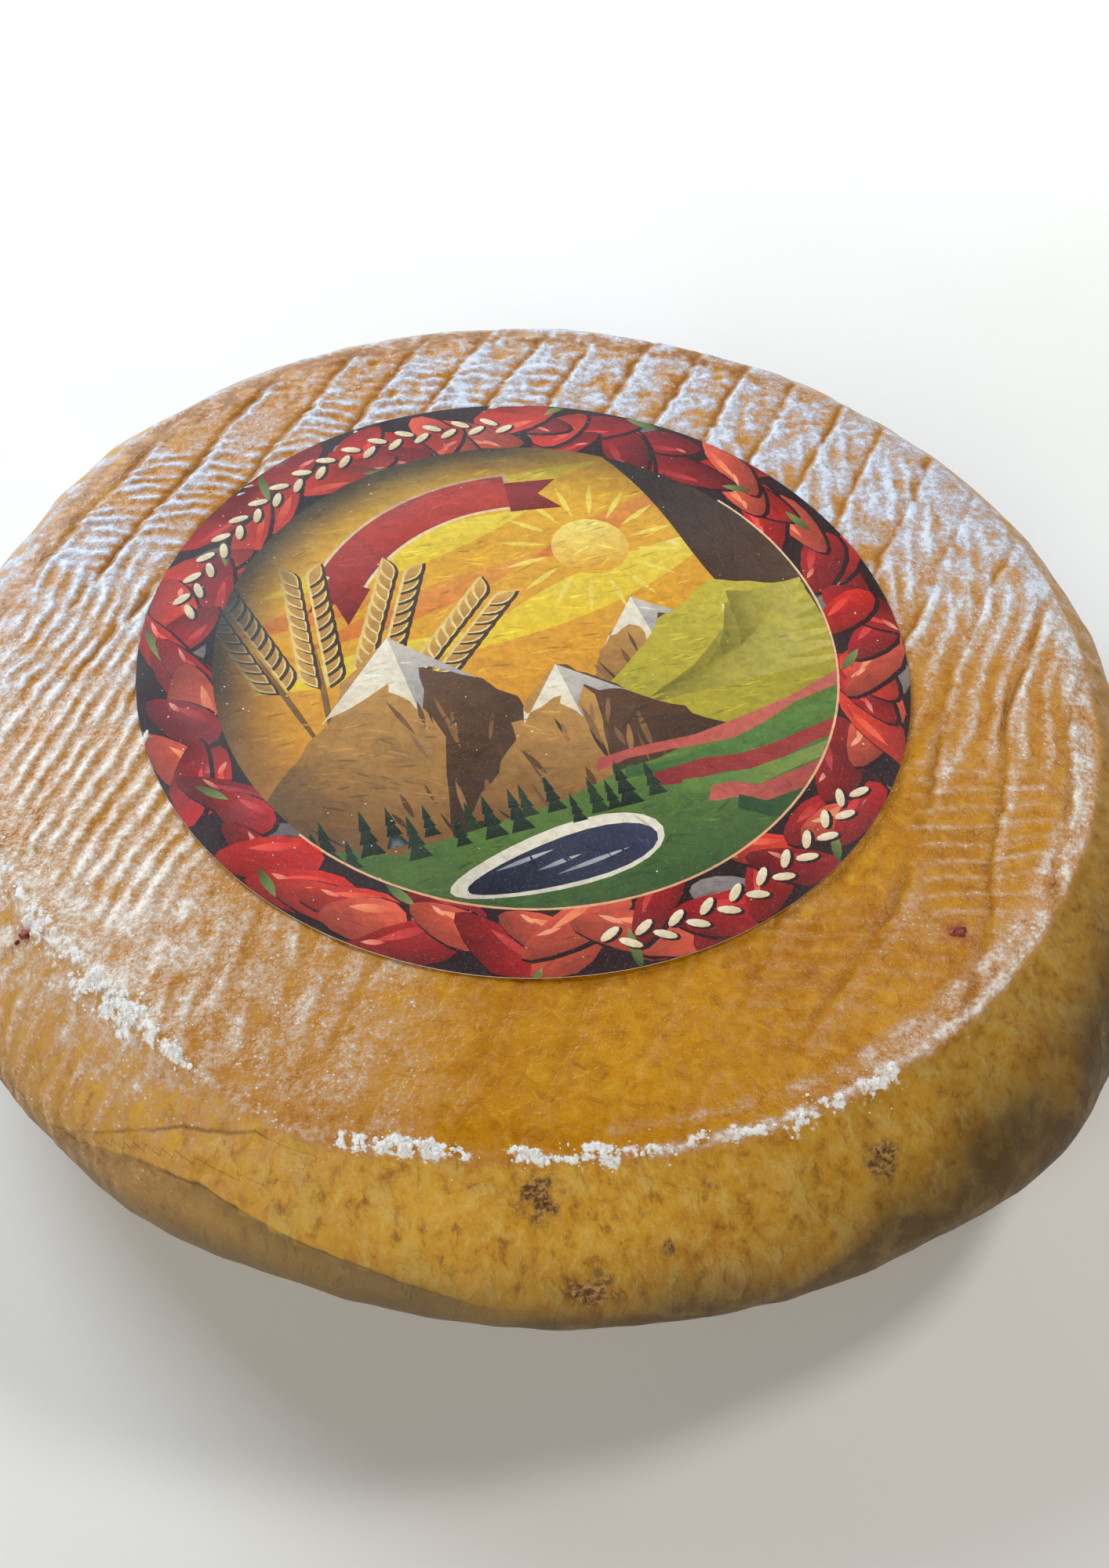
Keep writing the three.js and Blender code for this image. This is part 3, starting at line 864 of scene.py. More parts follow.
# %% Colours of the rind
AMBER = linear(200, 138, 0)
DEEP_AMBER = linear(172, 106, 0)
HONEY = linear(214, 160, 16)
BROWN = linear(128, 74, 4)
OLIVE = linear(222, 170, 40)
KHAKI = linear(176, 146, 78)
SHADE_OLIVE = linear(68, 47, 10)
GREY_BROWN = linear(116, 95, 62)
CREASE = linear(98, 64, 26)
COOL_SHEEN_BLOOM = linear(182, 190, 206)
WARM_BLOOM = linear(212, 197, 182)
PEACH = linear(194, 144, 90)
CHALK = linear(242, 243, 244)
GLINT_WHITE = linear(240, 242, 246)
COOL_HIGHLIGHT = linear(218, 228, 244)
WARM_HIGHLIGHT = linear(240, 232, 220)
SCAR = linear(70, 36, 14)
CRUST = linear(176, 134, 72)
FLECK = linear(222, 186, 92)
STAIN = linear(142, 46, 34)
print("amber", [round(value, 3) for value in AMBER[:3]])


# %% Rind material and mesh
def rind_material():
    recipe = Recipe("washed_rind")
    blotches = recipe.noise(34, 4, 0.6)
    patches = recipe.noise(95, 4, 0.62, 0.4)
    mottle = recipe.noise(230, 5, 0.68, 0.6)
    grain = recipe.noise(620, 3, 0.62)
    fine = recipe.noise(1500, 2, 0.6)
    streaks = recipe.noise(300, 4, 0.64, 0.3, recipe.stretched((1, 1, 0.3)))
    threads = recipe.noise(760, 3, 0.6, 0.2, recipe.stretched((1, 1, 0.36)))
    pimples = recipe.ramp(recipe.cells(430), 0.06, 0.34, 1.0, 0.0)
    dabs = recipe.noise(150, 3, 0.56, 0.3, recipe.stretched((1, 1, 0.42)))
    bloom_and_sheen_here = recipe.attribute("bloom_and_sheen")
    powder_here = recipe.attribute("powder")
    side_here = recipe.attribute("side")
    scar_here = recipe.attribute("scar")
    # Amber, with honey and brown in it.
    colour = recipe.mix(recipe.ramp(blotches, 0.35, 0.68), AMBER, DEEP_AMBER)
    colour = recipe.mix(recipe.ramp(mottle, 0.5, 0.68, 0.0, 0.6), colour, HONEY)
    colour = recipe.mix(recipe.ramp(mottle, 0.46, 0.3, 0.0, 0.5), colour, BROWN)
    # Damp rim and grooves in brown; in the grooves this is partly painted shade.
    colour = recipe.mix(recipe.times(recipe.attribute("damp_and_groove_shade"), 0.62), colour, BROWN)
    # The side: olive, flecked and dinted upright, with painted glints, grey towards the foot at the
    # left, and darker towards the foot and at the front right as painted shade.
    olive = recipe.times(side_here, recipe.ramp(patches, 0.3, 0.7, 0.2, 0.9))
    colour = recipe.mix(olive, colour, OLIVE)
    flecks = recipe.times(recipe.ramp(streaks, 0.5, 0.68), side_here)
    colour = recipe.mix(recipe.times(flecks, 0.66), colour, FLECK)
    glints = recipe.times(recipe.ramp(threads, 0.56, 0.74), side_here)
    colour = recipe.mix(recipe.times(glints, 0.4), colour, FLECK)
    dints = recipe.times(recipe.ramp(streaks, 0.46, 0.3), side_here)
    colour = recipe.mix(recipe.times(dints, 0.75), colour, BROWN)
    dab_zone = recipe.times(recipe.ramp(dabs, 0.54, 0.64), side_here)
    colour = recipe.mix(recipe.times(dab_zone, 0.5), colour, FLECK)
    colour = recipe.mix(recipe.attribute("painted_shade"), colour, SHADE_OLIVE)
    khaki = recipe.times(recipe.ramp(patches, 0.5, 0.66), recipe.attribute("painted_shade"))
    khaki = recipe.plus(khaki, recipe.times(dab_zone, 0.5))
    colour = recipe.mix(recipe.times(khaki, 0.2), colour, KHAKI)
    colour = recipe.mix(recipe.attribute("greyness"), colour, GREY_BROWN)
    # The dry film of bloom: peach where it is thin, then pale, then a near-white painted highlight where
    # it is thickest.
    unevenness = recipe.ramp(patches, 0.25, 0.75, -0.4, 0.4)
    unevenness = recipe.plus(unevenness, recipe.ramp(mottle, 0.25, 0.75, -0.5, 0.5))
    unevenness = recipe.plus(unevenness, recipe.ramp(grain, 0.32, 0.68, -0.62, 0.62))
    unevenness = recipe.plus(unevenness, recipe.ramp(fine, 0.36, 0.64, -0.3, 0.3))
    film = recipe.times(unevenness, recipe.ramp(bloom_and_sheen_here, 0.0, 0.5, 0.02, 0.52))
    film = recipe.plus(film, bloom_and_sheen_here)
    peach = recipe.ramp(film, 0.02, 0.42)
    colour = recipe.mix(recipe.times(peach, 0.9), colour, PEACH)
    pale = recipe.ramp(film, 0.34, 1.0)
    # The cool tone is a painted reflection of the window.
    bloom_and_sheen_tone = recipe.mix(recipe.attribute("cool_sheen"), WARM_BLOOM, COOL_SHEEN_BLOOM)
    highlight_tone = recipe.mix(recipe.attribute("cool_sheen"), WARM_HIGHLIGHT, COOL_HIGHLIGHT)
    colour = recipe.mix(recipe.times(pale, 0.9), colour, bloom_and_sheen_tone)
    colour = recipe.mix(recipe.ramp(film, 0.86, 1.3, 0.0, 0.9), colour, highlight_tone)
    colour = recipe.mix(recipe.times(recipe.attribute("damp_and_groove_shade"), 0.34), colour, BROWN)
    # Painted glints: tiny near-white specks where the film is pale.
    glint_zone = recipe.ramp(patches, 0.46, 0.58)
    glint_zone = recipe.times(glint_zone, recipe.ramp(bloom_and_sheen_here, 0.06, 0.3))
    painted_glints = recipe.times(recipe.ramp(recipe.cells(620), 0.22, 0.1), glint_zone)
    colour = recipe.mix(recipe.times(painted_glints, 0.75), colour, GLINT_WHITE)
    # Chalky residue, red stains, crusty pits and the creases.
    chalk = recipe.plus(powder_here, recipe.ramp(grain, 0.3, 0.7, -0.34, 0.34))
    chalk = recipe.ramp(chalk, 0.42, 0.8)
    colour = recipe.mix(chalk, colour, CHALK)
    stain = recipe.times(recipe.attribute("stain"), recipe.ramp(grain, 0.3, 0.6, 0.6, 1.0))
    colour = recipe.mix(stain, colour, STAIN)
    scabs = recipe.ramp(recipe.noise(760, 4, 0.7, 0.8), 0.4, 0.54)
    crust = recipe.mix(scabs, SCAR, CRUST)
    colour = recipe.mix(recipe.ramp(scar_here, 0.2, 0.6, 0.0, 0.9), colour, crust)
    wander = recipe.ramp(patches, 0.3, 0.7, -0.5, 0.5)
    from_crease = recipe.maths("ABSOLUTE", recipe.plus(recipe.attribute("crease"), wander))
    crease = recipe.ramp(from_crease, 0.55, 0.1)
    crease = recipe.times(crease, recipe.ramp(blotches, 0.35, 0.5, 0.25, 1.0))
    colour = recipe.mix(recipe.times(crease, 0.62), colour, CREASE)
    # Shine and fine relief.
    roughness = recipe.ramp(mottle, 0.32, 0.68, 0.27, 0.38)
    roughness = recipe.plus(roughness, recipe.times(chalk, 0.4))
    roughness = recipe.plus(roughness, recipe.times(side_here, 0.22), clamp=True)
    height = recipe.plus(recipe.times(grain, 0.7), recipe.times(fine, 0.3))
    height = recipe.plus(height, recipe.times(pimples, 0.22))
    upright = recipe.plus(streaks, recipe.times(threads, 0.5))
    upright = recipe.times(upright, side_here)
    height = recipe.plus(height, recipe.times(upright, 1.3))
    height = recipe.plus(height, recipe.times(dab_zone, 0.9))
    scab_height = recipe.times(scabs, scar_here)
    height = recipe.plus(height, recipe.times(scab_height, 1.2))
    height = recipe.maths("SUBTRACT", height, recipe.times(crease, 0.5))
    normal = recipe.relief(height, 0.8, 0.0006)
    return recipe.finish(
        colour,
        roughness,
        normal,
        Subsurface_Weight=0.15,
        Subsurface_Scale=0.003,
        Subsurface_Radius=(1.0, 0.45, 0.15),
        Specular_IOR_Level=0.34,
        Coat_Weight=0.03,
        Coat_Roughness=0.2,
    )


middles = np.array([[0, 0, HIDDEN_HEIGHT], [0, 0, 0]])
skin_points = to_frame(np.concatenate([moved, middles]))
wheel = piece_from("rind_skin", skin_points, wheel_faces(), rind_material())
kept_values = {
    "bloom_and_sheen": (bloom_and_sheen, 0, 0),
    "powder": (powder_patches, 0, 0),
    "side": (1 - top_side, 0, 1),
    "greyness": (greyness, 0, 0.4),
    "painted_shade": (painted_shade, 0, 0.6),
    "scar": (scar, 0, 0),
    "damp_and_groove_shade": (damp_and_groove_shade, 0, 0),
    "stain": (stain, 0, 0),
    "crease": (crease_gap, CREASE_REACH, CREASE_REACH),
    "cool_sheen": (cool_sheen, 0, 0),
}
for name, (values, at_top_middle, at_bottom_middle) in kept_values.items():
    keep_value(wheel, name, np.append(values, [at_top_middle, at_bottom_middle]))
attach(wheel, "root")
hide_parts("wheel")
print("wheel triangles", triangles_of(wheel))


# %% [markdown]
# ## The label's drawing
# The paper label is glued on top. It gets a plain country picture in the warm colours of such labels:
# a ring of red leaves round a golden sky with mountains, fields and a lake. A picture of clear shapes
# is drawn as a mesh: each shape is an outline with two colours that run into each other, later shapes
# lie over earlier ones, and one triangulation through all outlines keeps every border crisp. Colours
# of the drawing are screen colours from 0 to 255.

# %% Outlines to draw with
DISC_RADIUS = 82.6
LABEL_TURN = math.radians(22)
RING_GROUND = (40, 22, 28)
SKY_GROUND = (214, 128, 42)
drawing = []


def heading(degrees_turn):
    return np.array([math.cos(math.radians(degrees_turn)), math.sin(math.radians(degrees_turn))])


def turned(points, turn):
    cosine, sine = math.cos(turn), math.sin(turn)
    points = np.asarray(points, dtype=float)
    return points @ np.array([[cosine, sine], [-sine, cosine]])


def leaf(centre, length, width, degrees_turn, steps=14, fullness=0.0):
    """A rounded leaf, fuller towards one end where fullness isn't zero."""
    turns = np.arange(steps) * 2 * math.pi / steps
    along = np.cos(turns) * length / 2
    aside = np.sin(turns) * width / 2 * (1 + fullness * np.cos(turns))
    return turned(np.stack([along, aside], axis=1), math.radians(degrees_turn)) + np.array(centre)


def lens(centre, length, width, degrees_turn, steps=5):
    """A slim shape that is pointed at both ends, such as a blade or a highlight."""
    share = np.linspace(0, 1, steps + 1)
    half = np.sin(share * math.pi) * width / 2
    along = (share - 0.5) * length
    upper = np.stack([along, half], axis=1)
    lower = np.stack([along[-2:0:-1], -half[-2:0:-1]], axis=1)
    return turned(np.concatenate([upper, lower]), math.radians(degrees_turn)) + np.array(centre)


def arc_band(inner, outer, from_degrees, to_degrees, centre=(0, 0), steps=24):
    turns = np.radians(np.linspace(from_degrees, to_degrees, steps))
    ring = np.stack([np.cos(turns), np.sin(turns)], axis=1)
    return np.concatenate([ring * outer, ring[::-1] * inner]) + np.array(centre)


def rugged(points, amount, seed, rounds=3):
    """An open line with its stretches broken up again and again, as a ridge against the sky."""
    random = np.random.default_rng(seed)
    line = np.array(points, dtype=float)
    for _ in range(rounds):
        middle = (line[1:] + line[:-1]) / 2 + random.normal(size=(len(line) - 1, 2)) * amount
        woven = np.empty((len(line) + len(middle), 2))
        woven[0::2] = line
        woven[1::2] = middle
        line = woven
        amount *= 0.55
    return line


def draw(outline, first, second=None, axis=90, ring=False):
    """Adds a shape whose colour runs from first to second along an axis, in degrees."""
    drawing.append((np.asarray(outline, dtype=float), first, second or first, axis, ring))


print("outlines ready")


# %% The sky, the sun and the ribbon
SUN_PLACE = (30, 34)
SUN_RAYS = 16
RIBBON_CENTRE = (6, 4)
RIBBON_RED = (150, 44, 46)


def draw_sky():
    draw(leaf((0, 0), 170, 170, 0, 48), SKY_GROUND, (228, 178, 50))
    for centre, length, width, turn in (
        ((-22, 46), 84, 13, 10),
        ((26, 18), 96, 15, 16),
        ((-38, 8), 70, 10, 4),
        ((12, 64), 66, 8, 6),
    ):
        draw(lens(centre, length, width, turn, 9), (236, 196, 44), (232, 206, 74))
    for centre, length, width, turn in (
        ((-20, 26), 76, 9, 14),
        ((38, 42), 60, 8, 20),
        ((-48, 30), 50, 8, 8),
    ):
        draw(lens(centre, length, width, turn, 9), (216, 118, 44), (222, 150, 66))
    for ray in range(SUN_RAYS):
        turn = ray * 360 / SUN_RAYS + 4
        draw(lens(heading(turn) * 19 + SUN_PLACE, 13, 1.7, turn), (240, 214, 96))
    draw(leaf(SUN_PLACE, 22, 22, 0, 28), (226, 160, 44), (246, 224, 120))


def draw_ribbon():
    """A bent band with a pale edge under it and a swallow tail at each end."""
    edge = (0.9, (238, 224, 190), (214, 190, 150))
    band = (0.0, RIBBON_RED, (190, 66, 56))
    for grow, first, second in (edge, band):
        draw(arc_band(52 - grow, 65 + grow, 82 - grow, 142 + grow, RIBBON_CENTRE), first, second)
    for turn, sign in ((82, -1), (142, 1)):
        out = heading(turn)
        side = np.array([-out[1], out[0]]) * sign
        tail = [out * 50, out * 50 + side * 15, out * 56.5 + side * 9, out * 62 + side * 15, out * 62]
        draw(np.array(tail) + RIBBON_CENTRE, (112, 32, 38), RIBBON_RED)


def draw_ears():
    """Four ears of wheat, each grain with a dark edge below and a brown hollow."""
    for foot, turn, count in (
        ((-62, -8), 104, 9),
        ((-56, -10), 84, 10),
        ((-48, -10), 64, 10),
        ((-42, -14), 44, 10),
    ):
        along = heading(turn)
        aside = np.array([-along[1], along[0]])
        draw(lens(np.array(foot) + along * 8, 44, 1.8, turn), (96, 68, 40), (150, 110, 60))
        for grain in range(count):
            for sign in (-1, 1):
                place = np.array(foot) + along * (18 + grain * 4.1) + aside * sign * 3.5
                lean = turn + sign * 26
                draw(lens(place + (0.6, -0.7), 10.4, 4.8, lean), (66, 48, 36))
                draw(lens(place, 9.8, 4.4, lean), (236, 214, 150), (226, 190, 110))
                draw(lens(place + (0.15, -0.15), 8.0, 2.9, lean), (178, 132, 70), (206, 160, 84))


draw_sky()
draw_ribbon()
draw_ears()
print("shapes so far", len(drawing))


# %% Mountains, hills and the lake
def draw_peak(apex, left, right, base, seed):
    """A peak with a sunlit flank, a dark flank and a cream cap on both."""
    ridge = rugged([left, ((left[0] + apex[0]) / 2, (left[1] + apex[1]) / 2), apex], 2.2, seed)
    fall = rugged([apex, ((right[0] + apex[0]) / 2, (right[1] + apex[1]) / 2), right], 2.2, seed + 1)
    spine = rugged([apex, (apex[0] + 5, (apex[1] + base) / 2), (apex[0] - 3, base)], 2.4, seed + 2, 2)
    draw(np.concatenate([ridge, spine[1:]]), (120, 84, 48), (200, 152, 84), 70)
    draw(np.concatenate([fall, spine[::-1][:-1]]), (52, 38, 32), (104, 74, 50), 110)
    height = (apex[1] - base) * 0.34
    left_slope = (apex - np.array(left)) / (apex[1] - left[1])
    right_slope = (apex - np.array(right)) / (apex[1] - right[1])
    left_foot = np.array(apex) - left_slope * height
    right_foot = np.array(apex) - right_slope * height * 0.8
    cap_tip = (apex[0] + 1, apex[1] - height * 1.1)
    hem = rugged([left_foot, (apex[0] - 4, apex[1] - height * 0.62), cap_tip], 2.0, seed + 3, 2)
    draw(np.concatenate([[apex], hem]), (226, 214, 186), (246, 240, 224))
    dark_hem = rugged([cap_tip, (apex[0] + 5, apex[1] - height * 0.5), right_foot], 1.4, seed + 4, 2)
    draw(np.concatenate([[apex], dark_hem]), (150, 150, 158), (206, 200, 190))
    random = np.random.default_rng(seed)
    for _ in range(26):
        share = random.uniform(0.35, 0.95)
        width = (right[0] - left[0]) * share * 0.42
        place = (apex[0] + random.uniform(-width, width), apex[1] - (apex[1] - base) * share)
        lean = 90 + (apex[0] - place[0]) * 1.1 + random.uniform(-14, 14)
        tone = random.uniform(0.6, 1.5)
        shade = tuple(min(255, value * tone) for value in (104, 76, 50))
        draw(lens(place, random.uniform(6, 15), random.uniform(0.7, 1.9), lean), shade)


def draw_country():
    """A dark crescent at the right, a hill with furrows, three peaks and a meadow."""
    shares = np.linspace(0, 1, 20)
    turns = np.radians(-34 + 92 * shares)
    depth = 84 - 24 * np.sin(math.pi * shares)
    inner = np.column_stack([np.cos(turns) * depth, np.sin(turns) * depth])
    outer = np.column_stack([np.cos(turns), np.sin(turns)]) * 84
    draw(np.concatenate([outer, inner[::-1]]), (50, 38, 34), (86, 64, 50), 0)
    draw_peak((34, 12), (2, -26), (76, -24), -34, 510)
    far_hill = rugged([(12, -22), (38, 2), (58, 12), (82, 4)], 1.2, 520)
    draw(np.concatenate([far_hill, [(82, -60), (12, -60)]]), (150, 142, 40), (194, 182, 66))
    for step in range(7):
        line = [(20 + step * 6, -26 + step * 2), (48 + step * 2, -20 + step * 4.5), (82, -24 + step * 5)]
        furrow = np.concatenate([rugged(line, 0.8, 530 + step, 2), [(82, -25.4 + step * 5)]])
        draw(furrow, (116, 112, 36), (206, 194, 92), 0)
    draw_peak((-34, 16), (-92, -44), (20, -44), -60, 540)
    draw_peak((6, -6), (-30, -50), (50, -46), -58, 550)
    meadow = rugged([(-88, -44), (-50, -55), (-10, -51), (30, -42), (84, -30)], 1.2, 560)
    shore = [(80, -56), (52, -84), (0, -100), (-52, -84), (-80, -56)]
    draw(np.concatenate([meadow, shore]), (36, 74, 42), (98, 132, 60))


def draw_fields():
    """Six bands of fields, and a lake with a pale shore and three glints."""
    bands = [
        ((176, 76, 74), (208, 112, 100)),
        ((52, 96, 54), (104, 146, 72)),
        ((132, 44, 50), (176, 62, 58)),
        ((84, 124, 58), (148, 168, 84)),
        ((196, 96, 86), (160, 58, 62)),
        ((40, 76, 46), (84, 122, 62)),
    ]
    for step, (first, second) in enumerate(bands):
        top = [(6 + step * 6, -40 - step * 4.2), (42, -38 - step * 5.4), (82, -28 - step * 6.6)]
        low = [(82, -33 - step * 6.6), (42, -43.4 - step * 5.4), (4 + step * 6, -44 - step * 4.2)]
        band = np.concatenate([rugged(top, 0.9, 570 + step, 2), rugged(low, 0.9, 580 + step, 2)])
        draw(band, first, second, 20)
    draw(leaf((-14, -67), 56, 18, 4, 26, 0.3), (222, 216, 200), (240, 234, 216), 20)
    draw(leaf((-13, -68), 50, 13.5, 4, 26, 0.3), (18, 22, 44), (54, 62, 92), 40)
    for centre, length in (((-22, -65), 16), ((-6, -70), 20), ((-14, -68), 12)):
        draw(lens(centre, length, 1.3, 8), (120, 130, 150), (190, 196, 204), 0)


def draw_firs():
    random = np.random.default_rng(590)
    for number in range(19):
        foot = np.array([-76 + number * 5.1 + random.uniform(-1.5, 1.5), -54 + random.uniform(-4, 3)])
        tall = random.uniform(9, 16)
        wide = tall * 0.42
        dark = (22, 34, 28) if number % 3 else (34, 54, 38)
        for tier in range(3):
            low = foot + (0, tall * tier * 0.26)
            span = wide * (1 - tier * 0.26)
            tip = low + (0, tall * (0.48 - 0.02 * tier))
            draw([low - (span / 2, 0), low + (span / 2, 0), tip], dark, (44, 66, 46))


draw_country()
draw_fields()
draw_firs()
print("shapes so far", len(drawing))


# %% The ring of red leaves
LEAF_COUNT = 80
RING_OUTSIDE = 102.1
LINE_GAP = 0.1
REDS = [(216, 40, 34), (186, 30, 38), (228, 60, 44), (150, 24, 34), (232, 92, 70), (172, 28, 32)]


def ring_place(degrees_turn, distance):
    return distance * heading(degrees_turn)


def on_leaf(length_share, width_share, lean):
    """A step from a leaf's middle, along and across it, turned with the leaf."""
    return turned([(length_share, width_share)], math.radians(lean))[0]


def draw_grey_patches(random):
    for number in range(15):
        turn = number * 24 + random.uniform(-8, 8)
        distance = random.uniform(87, 98)
        length = random.uniform(12, 20)
        width = random.uniform(7, 12)
        patch = leaf(ring_place(turn, distance), length, width, turn + 60)
        grey = random.uniform(0.7, 1.1)
        draw(patch, (96 * grey, 88 * grey, 92 * grey), (134 * grey, 128 * grey, 130 * grey), ring=True)


def draw_ring():
    random = np.random.default_rng(600)
    draw(arc_band(DISC_RADIUS + LINE_GAP, RING_OUTSIDE, 0, 359.9, steps=90), RING_GROUND, ring=True)
    draw_grey_patches(random)
    for number in range(LEAF_COUNT):
        turn = number * 360 / LEAF_COUNT + random.uniform(-3, 3)
        distance = random.uniform(85, 99)
        length = random.uniform(19, 33)
        width = random.uniform(9, 13.5)
        lean = turn + 90 + random.uniform(-58, 58)
        red = REDS[int(random.integers(len(REDS)))]
        deep = tuple(value * 0.6 for value in red)
        pale = (min(255, red[0] * 1.12 + 18), red[1] * 1.3 + 34, red[2] * 1.2 + 28)
        place = ring_place(turn, distance)
        shadow = leaf(place + (0.5, -0.7), length + 1.0, width + 1.2, lean, fullness=0.25)
        draw(shadow, (40, 14, 20), ring=True)
        draw(leaf(place, length, width, lean, fullness=0.25), deep, red, lean + 70, True)
        vein = on_leaf(0, width * 0.06, lean)
        draw(lens(place + vein, length * 0.82, 0.8, lean), deep, red, lean, True)
        glint = on_leaf(length * 0.06, width * 0.26, lean)
        draw(lens(place + glint, length * 0.5, width * 0.2, lean + 4), pale, red, lean, True)
        if number % 2 == 0:
            speck = place + on_leaf(-length * 0.2, width * 0.2, lean)
            speck = lens(speck, length * 0.2, width * 0.12, lean - 14)
            draw(speck, (238, 160, 140), pale, lean, True)
        if number % 4 == 1:
            stalk = place + on_leaf(-length * 0.52, 0, lean)
            stalk_length = random.uniform(9, 14)
            stalk = lens(stalk, stalk_length, 2.6, lean + random.uniform(-40, 40))
            draw(stalk, (52, 78, 40), (128, 148, 84), lean, True)


def draw_laurel(from_degrees, to_degrees, distance):
    """A row of small cream leaves along the ring."""
    for number, turn in enumerate(np.arange(from_degrees, to_degrees, 2.6)):
        sign = 1 if number % 2 else -1
        place = ring_place(turn, distance + sign * 1.7)
        lean = turn + 90 - sign * 32
        draw(leaf(place + (0.5, -0.5), 6.4, 2.9, lean, 10), (44, 18, 24), ring=True)
        draw(leaf(place, 6.0, 2.3, lean, 10), (222, 200, 160), (246, 236, 210), ring=True)


draw_ring()
draw_laurel(76, 156, 93)
draw_laurel(-96, -44, 93.5)
thin_line = arc_band(DISC_RADIUS + LINE_GAP, DISC_RADIUS + 0.75, -150, 30, steps=60)
draw(thin_line, (226, 170, 128), (240, 206, 168), ring=True)
print("shapes in all", len(drawing))


# %% [markdown]
# ## From outlines to one sheet
# `delaunay_2d_cdt` is Blender's own triangulation. It gets every outline as edges that must stay,
# and an even grid of points so that the sheet can be gently wavy. Each triangle then takes the
# colour of the last shape drawn over its middle. The colours are stored on the face corners, so
# two neighbours can differ without a soft border between them.

# %% Triangulate the drawing
CIRCLE_STEPS = 240
GRID_STEP = 5.0
KEEP_OFF = 0.06
PAPER_THICKNESS = 0.28


def kept_inside(outline):
    """The outline with what lies outside the label pulled back to its edge."""
    distance = np.maximum(np.linalg.norm(outline, axis=1), 1e-6)
    return outline * (np.minimum(distance, LABEL_RADIUS - KEEP_OFF) / distance)[:, None]


def circle(circle_radius, steps=CIRCLE_STEPS):
    turns = np.arange(steps) * 2 * math.pi / steps
    return np.stack([np.cos(turns), np.sin(turns)], axis=1) * circle_radius


def holds(outline, points):
    """Which points lie inside a closed outline, by counting the edges to their right."""
    low = outline.min(axis=0)
    high = outline.max(axis=0)
    found = np.zeros(len(points), dtype=bool)
    near = np.nonzero(((points >= low) & (points <= high)).all(axis=1))[0]
    here = points[near]
    after = np.roll(outline, -1, axis=0)
    inside = np.zeros(len(near), dtype=bool)
    for (x1, y1), (x2, y2) in zip(outline, after):
        if y1 == y2:
            continue
        crossing = ((y1 > here[:, 1]) != (y2 > here[:, 1])) & (
            here[:, 0] < (x2 - x1) * (here[:, 1] - y1) / (y2 - y1) + x1
        )
        inside ^= crossing
    found[near] = inside
    return found


shapes = []
for outline, first, second, axis, ring in drawing:
    outline = kept_inside(turned(outline, LABEL_TURN))
    shapes.append((outline, first, second, math.radians(axis) + LABEL_TURN, ring))
print("outlines inside the label", len(shapes))


# %% [markdown]
# ## Brush strokes
# A painted picture isn't flat inside its outlines. Short strokes take the colour that lies under
# them, a little lighter or darker, and run along their shape. A stroke is kept only where both its
# ends lie on the same shape, so no border is smudged.

# %% Brush strokes
STROKES = 2400
STROKE_SHAPE_SIZE = 17.0


def soft_ink(colour):
    return np.array(linear(*colour)[:3])


def top_shapes(points):
    """The number of the shape that shows at each point, or -1."""
    in_ring = np.linalg.norm(points, axis=1) > DISC_RADIUS
    found = np.full(len(points), -1)
    for number, (outline, _, _, _, ring) in enumerate(shapes):
        found[holds(outline, points) & (in_ring == ring)] = number
    return found


def share_along(outline, axis, points):
    direction = np.array([math.cos(axis), math.sin(axis)])
    reach = outline @ direction
    return np.clip((points @ direction - reach.min()) / max(float(np.ptp(reach)), 1e-6), 0, 1)


def brush_strokes():
    random = np.random.default_rng(650)
    distance = 100 * np.sqrt(random.uniform(0, 1, STROKES))
    towards = random.uniform(0, 2 * math.pi, STROKES)
    centres = np.stack([distance * np.cos(towards), distance * np.sin(towards)], axis=1)
    below = top_shapes(centres)
    strokes = []
    for centre, number in zip(centres, below):
        length, width = random.uniform(3, 8), random.uniform(0.35, 0.9)
        lean, tone = random.normal() * 14, random.uniform(0.8, 1.24)
        if number < 0 or np.ptp(shapes[number][0], axis=0).max() < STROKE_SHAPE_SIZE:
            continue
        outline, first, second, axis, ring = shapes[number]
        turn = math.degrees(axis) + 90 + lean
        share = share_along(outline, axis, centre)
        under = np.array(first) * (1 - share) + np.array(second) * share
        colour = tuple(np.minimum(under * tone, 255))
        strokes.append((lens(centre, length, width, turn, 3), colour, colour, axis, ring, number))
    ends = np.array([stroke[0][[0, 3]] for stroke in strokes])
    same_first = top_shapes(ends[:, 0]) == [stroke[5] for stroke in strokes]
    same_last = top_shapes(ends[:, 1]) == [stroke[5] for stroke in strokes]
    return [stroke[:5] for stroke, keep in zip(strokes, same_first & same_last) if keep]


shapes += brush_strokes()
print("outlines with the strokes", len(shapes))


# %% One triangulation
grid_line = np.arange(-LABEL_RADIUS, LABEL_RADIUS, GRID_STEP)
grid = np.stack(np.meshgrid(grid_line, grid_line), axis=-1).reshape(-1, 2)
grid = grid[np.linalg.norm(grid, axis=1) < LABEL_RADIUS - 1.5]
loops = [circle(LABEL_RADIUS), circle(DISC_RADIUS)] + [shape[0] for shape in shapes]
sheet_points = [Vector(point) for point in grid]
sheet_edges = []
for loop in loops:
    start = len(sheet_points)
    sheet_points += [Vector(point) for point in loop]
    sheet_edges += [(start + step, start + (step + 1) % len(loop)) for step in range(len(loop))]
cut = delaunay_2d_cdt(sheet_points, sheet_edges, [], 0, 1e-5, False)
sheet = np.array([tuple(point) for point in cut[0]])
corners = np.array([tuple(face) for face in cut[2]])
print("sheet points", len(sheet), "triangles", len(corners))


# %% Colours of the sheet
SHADE_INK = (26, 38, 44)
SHADE_FROM = math.radians(148)


